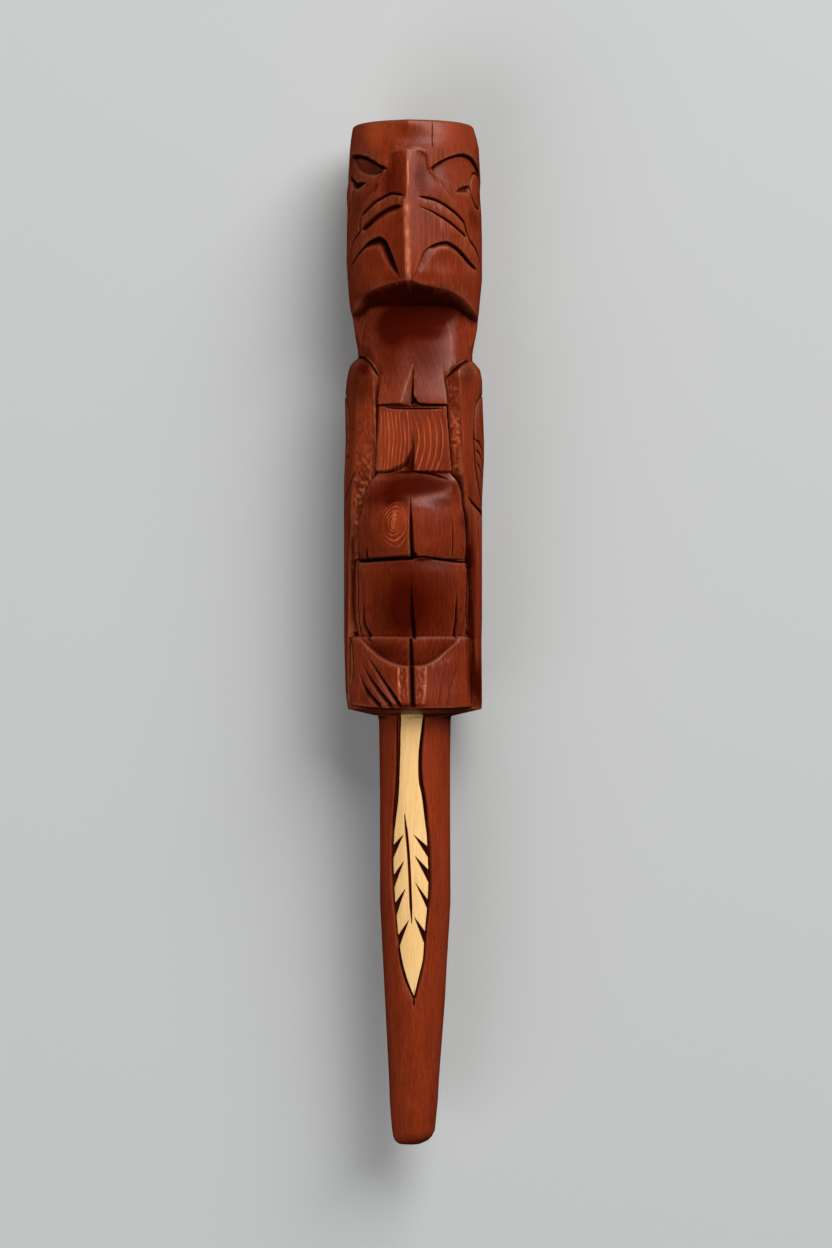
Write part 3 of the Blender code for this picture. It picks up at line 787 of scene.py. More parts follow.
def textureOf(carving):
    # how rough each place is, from 0 to 1
    turn, up = carving.turn, carving.up
    rough = np.zeros(turn.shape)
    for side, name in ((-1, "left"), (1, "right")):
        inner = readCurve(body[name]["channel"], up) - 0.6
        outer = readCurve(body[name]["wingEdge"], up) - 0.5
        angle = side * turn
        across = softStep((angle - inner) / 1.5) * softStep((outer - angle) / 2.2)
        strength = readCurve([(0, 0), (185, 0)] + texturedFaces[name] + [(323, 0), (430, 0)], up)
        rough = np.maximum(rough, across * strength)
    across, down = carving.seen()
    for (left, right), (top, foot) in tailStrips:
        spread = softStep((across - left) / 2) * softStep((right - across) / 2)
        rough = np.maximum(rough, 0.6 * spread * softStep((down - top) / 3) * softStep((foot - down) / 3))
    return rough


def roughen(carving):
    turn, up = carving.turn, carving.up
    onFigure = softStep((up - stick["figureFoot"] - 1) / 3)
    behind = softStep((np.abs(turn) - 88) / 20)
    rough = textureOf(carving)
    height, around, along = surface["wave"]
    change = height * unevenness(turn, up, around, along, 3) * onFigure
    height, around, along = surface["backFacets"]
    facets = np.abs(unevenness(turn, up, around, along, 5)) - 0.5
    change += height * facets * behind * onFigure
    height, around, along = surface["handleWave"]
    change += height * unevenness(turn, up, around, along, 8) * (1 - onFigure)
    height, around, along = surface["pebbles"]
    pits = unevenness(turn, up, around, along, 11)
    pits += 0.5 * unevenness(turn, up, around / 1.7, along / 1.6, 12)
    change += height * rough * pits
    height, around, along = surface["fineGouges"]
    change += height * unevenness(turn, up, around, along, 14) * np.clip(rough * 2, 0, 1)
    carving.reach += change
    carving.rough = rough
    carving.rubbed = rough * softStep(pits * 1.2)  # the pebbles' tops, painted pale as wear and as highlight
    # the pebbles' pits painted darker, with stain and painted shade
    carving.stainAndShadeInCuts = np.maximum(carving.stainAndShadeInCuts, 0.4 * rough * softStep(-pits * 1.2))


# Shallow scoops: picture centre, half sizes in pixels, the lean in degrees, and the depth
hollows = [
    ((413, 136), (24, 11), 0, 0.5), ((369, 168), (15, 7.5), 8, 0.9), ((475, 224), (6, 17), -20, 0.6),
    ((353, 213), (6, 19), 20, 0.6), ((372, 262), (12, 12), 0, 0.4), ((447, 262), (16, 12), 0, 0.4),
    ((427, 528), (9, 20), 8, 0.35), ((392, 524), (11, 20), 0, 0.3), ((372, 600), (7, 30), 0, 0.3),
    ((413, 600), (20, 30), 0, 0.5), ((448, 655), (16, 7), -35, 0.4), ((376, 655), (16, 7), 35, 0.4),
]
channelLine = {
    "depth": 0.9,
    "left": (1.6, 0.7),  # width towards the form and towards the wing
    "right": (0.5, 0.9),
    "reaches": (184, 329),  # up, and over how much it fades out at each end
    "fades": (8, 14),
    "uneven": 0.25,
}


def cutChannels(carving):
    # the line where each channel's wall meets its floor
    foot, top = channelLine["reaches"]
    footFade, topFade = channelLine["fades"]
    uneven = channelLine["uneven"]
    for side, name in ((-1, "left"), (1, "right")):
        formEdge = readCurve(body[name]["formEdge"], carving.up)
        off = np.radians(side * carving.turn - formEdge - 1.2) * carving.reach
        inner, outer = channelLine[name]
        width = np.where(off > 0, outer, inner)
        ends = np.clip((carving.up - foot) / footFade, 0, 1) * np.clip((top - carving.up) / topFade, 0, 1)
        ends = ends * (1 - uneven + uneven * unevenness(carving.turn * 0, carving.up, 5, 7, 17 + side))
        profile = np.clip(1 - np.abs(off) / width, 0, 1)
        carving.reach -= channelLine["depth"] * ends * profile
        # the line painted dark, with stain and painted shade
        carving.stainAndShadeInCuts = np.maximum(carving.stainAndShadeInCuts, np.clip(profile * 1.5, 0, 1) * np.clip(ends * 1.3, 0, 1))


def hollowOut(carving):
    across, down = carving.seen()
    front = np.abs(carving.turn) < 84
    for (x, y), (halfWidth, halfHeight), lean, depth in hollows:
        angle = math.radians(lean)
        u = (across - x) * math.cos(angle) + (down - y) * math.sin(angle)
        v = (down - y) * math.cos(angle) - (across - x) * math.sin(angle)
        off = (u / halfWidth) ** 2 + (v / halfHeight) ** 2
        carving.reach -= depth * np.clip(1 - off, 0, 1) ** 1.5 * front


def cutEyes(carving):
    for name in ("left", "right"):
        eye = eyes[name]
        middle = np.array([[eye["turn"], eye["up"]]])
        rows, columns, across, up, flat = carving.near(middle, eye["radius"] + 3)
        offAcross = across - flat[0, 0]
        offUp = up - flat[0, 1]
        drawnOut = 1 - eyes["pointed"] * np.clip(np.abs(offUp) / eye["radius"], 0, 1)
        off = np.hypot(offAcross, offUp * drawnOut)
        ring = np.clip(1 - np.abs(off - eye["radius"]) / eyes["ringWidth"], 0, 1)
        lift = eyes["dome"] * np.clip(1 - (off / eye["radius"]) ** 2, 0, 1)
        carving.reach[rows, columns] += lift - eyes["ringDepth"] * ring
        carving.darkenWithStainAndShade(rows, columns, ring)
        carving.sink(**eyeNotches[name])


def cutFeather(carving):
    leftEdge = carving.follow(feather["left"], before=[feather["leftTop"]])
    rightEdge = carving.follow(feather["right"], before=[feather["rightTop"]])
    outline = np.vstack([leftEdge, rightEdge[::-1]])
    rows, columns, across, up, flat = carving.near(outline, 4)
    inside = np.minimum(insideOutline(across, up, flat), (feather["top"] - up) * 2)
    radius = np.mean(carving.reachAt(outline[:, 0], outline[:, 1]))
    wide = feather["outerWidth"] * (1 + feather["widerBy"] * readCurve(feather["wider"], up))
    groove = np.clip(1.5 + 1.5 * inside / wide, 0, 1) * (inside < 0)
    groove += np.clip(1 - inside / feather["innerWidth"], 0, 1) * (inside >= 0)
    groove = groove * (up < stick["figureFoot"] - 1.2)
    lower = feather["depth"] * groove
    bareHere = inside.copy()
    for corners in feather["notches"]:
        corners = np.array(onStick(corners, carving.reachAt))
        notch = insideOutline(across, up, laidFlat(corners, radius))
        lower = np.maximum(lower, feather["notchDepth"] * np.clip(notch / 0.45, 0, 1) * (inside > -0.5))
        bareHere = np.minimum(bareHere, -notch)
    distance, share = fromPath(across, up, laidFlat(carving.follow(feather["quill"]), radius))
    pointed = np.clip(np.minimum(share, 1 - share) * 5 + 0.25, 0, 1)
    slit = feather["quillHalf"] * pointed - np.abs(distance)
    lower = np.maximum(lower, feather["quillDepth"] * np.clip(slit / 0.5, 0, 1))
    bareHere = np.minimum(bareHere, -slit)
    carving.reach[rows, columns] -= lower
    cutAway = np.clip(bareHere * -4, 0, 1) * (inside > -0.2)
    # the grooves and cut-away parts painted dark, with stain and painted shade
    stainAndShadeInCuts = np.maximum(np.clip(groove * 1.25, 0, 1) * (inside < 0.05), cutAway)
    carving.darkenWithStainAndShade(rows, columns, feather["stain"] * stainAndShadeInCuts)
    carving.bare = np.full(carving.reach.shape, -4.0)
    carving.bare[rows, columns] = bareHere
    carving.cut(feather["tip"], 1.0, 0.6, 0.6, ends=0.6, thin=0.5)
    for line in feather["besideQuill"]:
        carving.cut(**line)


def roundEnds(carving):
    across, along = stick["headEdge"]
    share = np.clip((carving.up - (stick["length"] - along)) / along, 0, 1)
    carving.reach -= across * (1 - np.sqrt(1 - share**2)) * (share > 0)


def carveStick():
    carving = Carving()
    print("blank", carving.reach.shape, "with its main forms")
    hollowOut(carving)
    cutChannels(carving)
    for line in headCuts.values():
        carving.cut(**line)
    cutEyes(carving)
    for line in bodyCuts.values():
        carving.cut(**line)
    for patch in sunkPatches.values():
        carving.sink(**patch)
    for line in wingCuts.values():
        carving.cut(**line)
    for line in wingBeyond.values():
        turned = [(-turn, up) for turn, up in line["beyond"]]
        carving.cut([], **dict(line, beyond=turned, left=line["right"], right=line["left"]))
    for line in wingBeyond.values():
        carving.cut([], **line)
    for side, leftWidth, rightWidth in (("left", "steep", "wide"), ("right", "wide", "steep")):
        for path in wingFeathers[side]:
            carving.cut([], wingFeathers["depth"], wingFeathers[leftWidth], wingFeathers[rightWidth],
                        beyond=path, ends=0.35)
    cutFeather(carving)
    roughen(carving)
    roundEnds(carving)
    print("head, body, wings and feather cut")
    return carving


# Growth rings that show through the stain, and places painted darker or lighter, by picture points
rings = {
    "pith": (58, -118),  # right of the axis and under it, where the rings are centred
    "spacing": 1.55,
    "wavers": ((0.9, 14, 70, 21), (0.25, 3, 22, 22)),  # mm, pitch round the pole and up it, and the seed
    "show": 0.35,
    "showVaries": 0.25,
    "bellyEye": dict(at=(394.6, 524), half=(14.5, 20.5), lines=6.0, strength=1.3),
    "lapEye": dict(at=(393, 566), half=(16.0, 7.0), lines=3.0, strength=0.6),
    "panel": dict(across=(379, 446), down=(411, 472), middle=412, centre=440, bend=0.0078, pitch=6.2,
                  strength=1.0),
    "atEnds": dict(ringShow=0.85, endGrain=0.6, pooledStainAndShade=0.1),  # how the flat ends show them, cut across
}
stainAndShadeByHeight = [  # up from the foot, and how much darker it is painted there: stain, and painted shade on the neck under the head
    (178, 0), (184, 0.6), (213, 0.75), (215, 1.1), (245, 1.1), (247, 0.55), (265, 0.6), (276, 1.0),
    (283, 1.0), (285, 0.35), (310, 0.45), (312, 0.75), (350, 0.9), (362, 0.45), (400, 0.55), (412, 0.1),
    (430, 0.1),
]
stainShadeAndLightPatches = [  # across, down, half width, half height, darker (positive) or lighter: stain, painted shade under the head's rim, on the neck, in the channels and along the sides, and painted light on the right wing's inner face
    (412, 486, 44, 13, 0.8), (408, 600, 50, 38, 0.4), (398, 322, 30, 26, 0.9), (418, 314, 30, 13, 0.9),
    (442, 312, 24, 13, 1.0), (434, 328, 22, 13, 0.6), (412, 294, 44, 12, 1.5), (374, 298, 22, 10, 1.0),
    (362, 385, 14, 26, 0.8), (468, 372, 10, 14, 0.7), (471, 600, 6, 120, 1.1), (466, 540, 6, 40, 0.5),
    (351, 535, 6, 30, 0.8), (354, 560, 5, 30, 0.4), (351, 600, 6, 50, 0.6), (481, 685, 6, 30, 1.2),
    (386, 350, 20, 40, 0.5), (480, 188, 6, 22, 0.6), (474, 682, 7, 34, 0.9), (384, 498, 22, 9, 0.55),
    (386, 652, 24, 9, 0.35), (406, 614, 24, 32, 0.35), (395, 175, 14, 40, 0.5), (368, 205, 14, 40, 0.4),
    (440, 503, 14, 6, 0.5), (374, 134, 12, 18, -1.1), (446, 134, 16, 18, -0.3), (416, 250, 6, 30, -0.35),
    (392, 440, 14, 28, -0.5), (430, 440, 14, 28, -0.45), (365, 450, 8, 26, -0.35), (398, 518, 11, 20, -1.1),
    (440, 530, 14, 26, -0.1), (403, 684, 6, 16, -0.3), (420, 684, 7, 16, -0.4), (455, 680, 18, 22, 0.3),
    (434, 745, 10, 60, -0.25), (412, 1060, 22, 60, -0.1), (368, 168, 16, 8, 0.35), (480, 162, 6, 22, 0.9),
    (420, 170, 11, 28, 0.8), (354, 580, 5, 70, 0.5), (456, 440, 5, 36, -1.2), (416, 136, 20, 12, 0.35),
    (387, 182, 7, 18, 0.6), (473, 222, 7, 15, 0.6), (376, 410, 4, 26, 0.6), (412, 706, 34, 3, 1.0),
    (404, 466, 12, 6, 0.5), (410, 463, 6, 11, 1.0), (398, 503, 14, 7, 0.7), (368, 694, 5, 10, 0.8),
    (430, 350, 24, 34, 0.55), (364, 366, 8, 10, 0.7), (464, 520, 6, 12, 0.7), (472, 556, 6, 12, 0.7),
    (396, 168, 9, 24, 0.5), (388, 472, 14, 6, 0.3), (456, 475, 5, 8, -1.0), (386, 160, 5, 12, -0.4),
]
rubbed = [  # edges worn to pale wood, and painted highlights: picture points, half width in pixels and how much
    # the beak's ridge: worn wood and a painted highlight
    dict(path=[(407.4, 150), (407.8, 175), (407, 203)], wide=1.0, much=1.0),
    # a painted highlight along the belly's crest
    dict(path=[(402, 502), (420, 498.6), (439, 494), (450, 489)], wide=3.2, much=0.2),
    # the beak's ridge below: worn wood and a painted highlight
    dict(path=[(406.4, 200), (407, 235), (408, 262), (408, 279)], wide=2.6, much=0.95),
    # a painted highlight along the neck's right corner
    dict(path=[(446, 318), (450, 332), (451.4, 347), (450.4, 362), (447, 378)], wide=0.7, much=0.28),
    # a painted highlight on the edge of the chest's notch
    dict(path=[(413, 365), (407, 383), (401, 402)], wide=0.7, much=0.55),
    dict(path=[(373.4, 372), (374.2, 400), (375.4, 440), (376.4, 468)], wide=0.7, much=0.6),
    dict(path=[(447, 381), (448.6, 410), (449.6, 440), (451, 470)], wide=0.7, much=0.35),
    dict(path=[(370, 637), (400, 637.6), (440, 637), (470, 637.4)], wide=0.8, much=0.35),
    dict(path=[(394.4, 513), (394, 520), (393.4, 528)], wide=1.5, much=0.4),
    dict(path=[(349.6, 640), (349.2, 670), (348.6, 702)], wide=0.8, much=0.5),
    dict(path=[(395.6, 147), (409, 148.4), (421, 147.4)], wide=1.2, much=0.2),
    dict(path=[(353, 703), (380, 708), (415, 710), (450, 709), (478, 706)], wide=0.8, much=0.3),
    dict(path=[(463, 372), (472, 366), (476, 374)], wide=0.6, much=0.35),
    # painted highlights on the right wing's inner face
    dict(path=[(457, 425), (459.5, 450), (461, 474)], wide=1.8, much=0.45),
    dict(path=[(398.6, 668), (399, 685), (400.4, 703)], wide=1.2, much=0.8),
    dict(path=[(407, 669), (407.6, 685), (408.4, 702)], wide=0.9, much=0.5),
    dict(path=[(414.8, 668), (415.2, 685), (416, 703)], wide=0.9, much=0.5),
    dict(path=[(425.8, 668), (425.4, 685), (423.6, 703)], wide=1.2, much=0.8),
]


def fibreFields(carving):
    turn = np.radians(carving.turn)
    right = carving.reach * np.sin(turn)
    lift = carving.reach * np.cos(turn)
    across, down = carving.seen()
    waver = sum(size * unevenness(carving.turn, carving.up, *rest) for size, *rest in rings["wavers"])
    fromPith = np.hypot(right - rings["pith"][0], lift - rings["pith"][1]) + waver
    lines = fromPith / rings["spacing"]
    show = rings["show"] + rings["showVaries"] * unevenness(carving.turn, carving.up, 8, 35, 23)
    front = np.abs(carving.turn) < 80
    for name in ("bellyEye", "lapEye"):
        eye = rings[name]
        off = np.hypot((across - eye["at"][0]) / eye["half"][0], (down - eye["at"][1]) / eye["half"][1])
        off = off * (1 + 0.2 * unevenness(carving.turn, carving.up, 5, 7, 24))
        inside = softStep((1.05 - off) / 0.12) * front
        lines = np.where(inside > 0, 0.25 + np.maximum(off - 0.16, 0) ** 0.8 * eye["lines"], lines)
        broken = 0.75 + 0.4 * unevenness(carving.turn, carving.up, 3, 5, 25)
        show = show * (1 - inside) + eye["strength"] * broken * inside
    panel = rings["panel"]
    (left, edge), (top, foot) = panel["across"], panel["down"]
    inside = (across > left) & (across < edge) & (down > top) & (down < foot) & front
    rightHalf = across > panel["middle"]
    bend = np.where(rightHalf, panel["bend"], 0.25 * panel["bend"])
    shifted = across + bend * (down - panel["centre"]) ** 2
    shifted += 0.8 * unevenness(carving.turn, carving.up, 5, 9, 26)
    pitch = np.where(rightHalf, panel["pitch"], 0.62 * panel["pitch"])
    lines = np.where(inside, (shifted - panel["middle"]) / pitch, lines)
    broken = panel["strength"] * (0.84 + 0.3 * unevenness(carving.turn, carving.up, 2.4, 11, 27))
    show = np.where(inside, broken, show)
    stainShadeAndLight = readCurve(stainAndShadeByHeight, carving.up) * np.clip(np.cos(turn), 0.3, 1)
    for x, y, halfWidth, halfHeight, strength in stainShadeAndLightPatches:
        off = np.hypot((across - x) / halfWidth, (down - y) / halfHeight)
        stainShadeAndLight += strength * softStep(1.25 - off) * front
    stainShadeAndLight += 0.16 * unevenness(carving.turn, carving.up, 11, 24, 31)
    return lines, np.clip(show, 0, 1), stainShadeAndLight


def rubbedEdges(carving):
    across, down = carving.seen()
    found = np.zeros(across.shape)
    broken = 0.75 + 0.45 * unevenness(carving.turn, carving.up, 1.2, 2.6, 41)
    front = np.abs(carving.turn) < 84
    for edge in rubbed:
        path = smoothPath(edge["path"], 4)
        (left, top), (right, foot) = path.min(0) - 8, path.max(0) + 8
        near = (across > left) & (across < right) & (down > top) & (down < foot) & front
        distance, share = fromPath(across[near], down[near], path)
        much = edge["much"] * np.clip(1.4 - np.abs(distance) / edge["wide"], 0, 1) * broken[near]
        found[near] = np.maximum(found[near], much)
    return np.clip(found, 0, 1)


def averaged(values, cells):
    # mean over a square of cells on every side
    for axis in (0, 1):
        padded = np.concatenate([np.repeat(np.take(values, [0], axis), cells, axis), values,
                                 np.repeat(np.take(values, [-1], axis), cells + 1, axis)], axis)
        total = np.cumsum(padded, axis)
        width = 2 * cells
        ends = np.take(total, range(width, width + values.shape[axis]), axis)
        starts = np.take(total, range(0, values.shape[axis]), axis)
        values = (ends - starts) / width
    return values


edgeWearAndHollowShade = {  # mm that a place stands out or lies in for the most of it, and how much that is: edges rubbed pale, hollows painted dark with stain and painted shade
    "closeEdge": (0.25, 0.18),  # against what lies a fraction of a millimetre away
    "wideEdge": (0.9, 0.08),  # against what lies a few millimetres away
    "closeHollowShade": (0.3, 0.5),
    "wideHollowShade": (1.2, 0.25),
    # pebble tops painted pale, as wear and as highlight
    "pebbleTops": 0.24,
}


def wearShadeAndEndGrain(carving):
    # what stands out is rubbed light, the pebbles' tops also painted as highlight, and what lies deep keeps
    # its stain and is painted in shade
    close = carving.reach - averaged(carving.reach, 2)
    wide = carving.reach - averaged(carving.reach, 7)
    wearAndHighlight = edgeWearAndHollowShade["pebbleTops"] * carving.rubbed
    hollowShadeAndStain = np.zeros(close.shape)
    for stands, (fullWear, wornAndHighlit), (fullHollow, kept) in (
        (close, edgeWearAndHollowShade["closeEdge"], edgeWearAndHollowShade["closeHollowShade"]),
        (wide, edgeWearAndHollowShade["wideEdge"], edgeWearAndHollowShade["wideHollowShade"]),
    ):
        wearAndHighlight += np.clip(stands / fullWear, 0, 1) * wornAndHighlit
        hollowShadeAndStain += np.clip(-stands / fullHollow, 0, 1) * kept
    slope = np.gradient(carving.reach, carving.ups, axis=0)
    endGrain = np.clip(np.abs(averaged(slope, 2)) * 1.1 - 0.12, 0, 1)
    return np.clip(wearAndHighlight, 0, 1), np.clip(np.maximum(hollowShadeAndStain, carving.stainAndShadeInCuts), 0, 1), endGrain


# Where the blank keeps more of its points although it is smooth, since stain and grain are marked on them
keptAreas = [  # picture x, y, half width, half height, and one point kept in so many each way
    (402, 522, 20, 32, 1), (412, 440, 38, 36, 2), (393, 566, 18, 8, 1), (412, 684, 18, 20, 2),
    (386, 256, 17, 26, 2), (424, 222, 14, 12, 2),
]
keptEvery = 6  # everywhere else


def keptPoints(carving, marks):
    across, down = carving.seen()
    row, column = np.indices(across.shape)
    kept = (row % keptEvery == 0) & (column % keptEvery == 0)
    kept |= marks > 0.06
    front = np.abs(carving.turn) < 84
    for x, y, halfWidth, halfHeight, every in keptAreas:
        inside = (np.abs(across - x) < halfWidth) & (np.abs(down - y) < halfHeight) & front
        kept |= inside & (row % every == 0) & (column % every == 0)
    return kept


def deselectAll():
    if bpy.context.mode != "OBJECT":
        bpy.ops.object.mode_set(mode="OBJECT")
    bpy.ops.object.select_all(action="DESELECT")


def makeStick(carving):
    # a sheet as fine as the carving, rolled round the pole, closed at its seam and ends and then thinned
    ends = blank["endRings"]
    reach = np.vstack([[carving.reach[0] * share for share in ends[::-1]], carving.reach,
                       [carving.reach[-1] * share for share in ends]])
    kept = np.pad(keptPoints(carving, rubbedEdges(carving)), ((len(ends), len(ends)), (0, 0)))
    foot, top = np.repeat(carving.ups[[0, -1]], len(ends)).reshape(2, -1)
    ups = np.concatenate([foot, carving.ups, top])
    turn = np.radians(carving.turns)
    deselectAll()
    bpy.ops.mesh.primitive_grid_add(x_subdivisions=len(turn) - 1, y_subdivisions=len(ups) - 1, size=2)
    blankSheet = bpy.context.object
    blankSheet.name = "carvedStick"
    blankSheet.data.name = "carvedStick"
    places = np.zeros(len(blankSheet.data.vertices) * 3)
    blankSheet.data.vertices.foreach_get("co", places)
    places = places.reshape(-1, 3)
    column = np.rint((places[:, 0] + 1) / 2 * (len(turn) - 1)).astype(int)
    row = np.rint((places[:, 1] + 1) / 2 * (len(ups) - 1)).astype(int)
    out = reach[row, column]
    rolled = np.column_stack([
        out * np.sin(turn[column]),
        ups[row] - stick["length"] / 2,
        np.maximum(out * np.cos(turn[column]) + stick["axis"], 0),
    ])
    blankSheet.data.vertices.foreach_set("co", (rolled * mm).ravel())
    thinned = blankSheet.vertex_groups.new(name="thinned")
    thinned.add(np.flatnonzero(~kept[row, column]).tolist(), 1, "REPLACE")
    bpy.ops.object.mode_set(mode="EDIT")
    bpy.ops.mesh.select_all(action="SELECT")
    bpy.ops.mesh.remove_doubles(threshold=0.01 * mm)
    bpy.ops.mesh.fill_holes(sides=0)
    bpy.ops.mesh.select_all(action="SELECT")
    bpy.ops.mesh.normals_make_consistent(inside=False)
    bpy.ops.object.mode_set(mode="OBJECT")
    bpy.ops.object.modifier_add(type="DECIMATE")
    thinning = blankSheet.modifiers[0]
    thinning.vertex_group = thinned.name
    blankSheet.data.calc_loop_triangles()
    thinning.ratio = blank["triangles"] / len(blankSheet.data.loop_triangles)
    bpy.ops.object.modifier_apply(modifier=thinning.name)
    blankSheet.vertex_groups.remove(blankSheet.vertex_groups["thinned"])
    bpy.ops.object.shade_smooth_by_angle(angle=math.radians(blank["smoothUnder"]))
    print("stick rolled and thinned to", len(blankSheet.data.polygons), "faces")
    return blankSheet


def keepFields(piece, carving):
    # what the carving says of each place, kept on the mesh for the material
    count = len(piece.data.vertices)
    places = np.zeros(count * 3)
    piece.data.vertices.foreach_get("co", places)
    places = places.reshape(-1, 3) / mm
    turn = np.degrees(np.arctan2(places[:, 0], places[:, 2] - stick["axis"]))
    up = places[:, 1] + stick["length"] / 2
    lines, show, stainShadeAndLight = fibreFields(carving)
    wearAndHighlight, pooledStainAndShade, endGrain = wearShadeAndEndGrain(carving)
    wearAndHighlight = np.maximum(wearAndHighlight, rubbedEdges(carving))
    fields = {
        "ringLines": lines, "ringShow": show, "stainShadeAndLight": stainShadeAndLight, "wearAndHighlight": wearAndHighlight, "pooledStainAndShade": pooledStainAndShade,
        "endGrain": endGrain, "bareWood": carving.bare, "roughCut": carving.rough,
    }
    atEnd = (up < 0.02) | (up > stick["length"] - 0.02)
    pithRight, pithLift = rings["pith"]
    fromPith = np.hypot(places[:, 0] - pithRight, places[:, 2] - stick["axis"] - pithLift)
    endFields = {"ringLines": fromPith / rings["spacing"], **rings["atEnds"]}
    for name, values in fields.items():
        found = carving.read(values, turn, up)
        found = np.where(atEnd, endFields.get(name, found), found)
        attribute = piece.data.attributes.new(name, "FLOAT", "POINT")
        attribute.data.foreach_set("value", found.astype(np.float32))
    print("stain, wear and grain marked on", count, "points")


def toLinear(hexColour):
    # an sRGB hex colour as linear red, green, blue and alpha
    channels = [int(hexColour[i:i + 2], 16) / 255 for i in (1, 3, 5)]
    return [c / 12.92 if c <= 0.04045 else ((c + 0.055) / 1.055) ** 2.4 for c in channels] + [1]


def addNode(tree, kind, inputs=None, output=0, **settings):
    # a node with its settings: each input is set to a value or linked to a socket, and one output comes back
    node = tree.nodes.new("ShaderNode" + kind)
    for name, value in settings.items():
        setattr(node, name, value)
    for name, value in (inputs or {}).items():
        if isinstance(value, bpy.types.NodeSocket):
            tree.links.new(value, node.inputs[name])
        else:
            node.inputs[name].default_value = value
    return node.outputs[output]


# Western red cedar, cut with a knife, stained red-brown and sealed with a satin varnish: the stain sinks
# dark into cuts and end grain, is rubbed orange on the edges, and lets the growth rings through
# Its colours also paint shade in the cuts, in hollows and under the head, and highlights along some edges
stainedCedar = {
    "stain": "#7E2B0F",
    # the next two are deeper stain, and painted shade where the tone runs high
    "deepStainAndShade": "#601C08",
    "soakedAndShaded": "#420C03",
    "ringLight": "#A94019",
    "ringGold": "#D96B3C",
    # pale worn wood, also the colour of painted highlights
    "wornAndHighlit": "#EC8C62",
    # stain pooled in the cuts, and painted shade there
    "pooledStainAndShade": "#1E0502",
    "endGrain": "#4C1105",
    "bare": "#FFD492",
    "bareFibre": "#E5AE68",
    "roughness": 0.36,
    "ior": 1.31,
    "dulledInShade": "#30140C",  # what is left of the varnish's shine where the stain has pooled or soaked in and where painted shade lies
    "fibre": (0.42, 10.0),  # mm across and along the grain
    "pores": (0.3, 3.4),
    "bands": (3.5, 60.0),
    "blotches": (9.0, 26.0),
}


def alongGrain(pitches):
    # a noise's scales along x, y and z for these pitches in mm, across the grain and along it
    across, along = pitches
    return 1 / (across * mm), 1 / (along * mm), 1 / (across * mm)


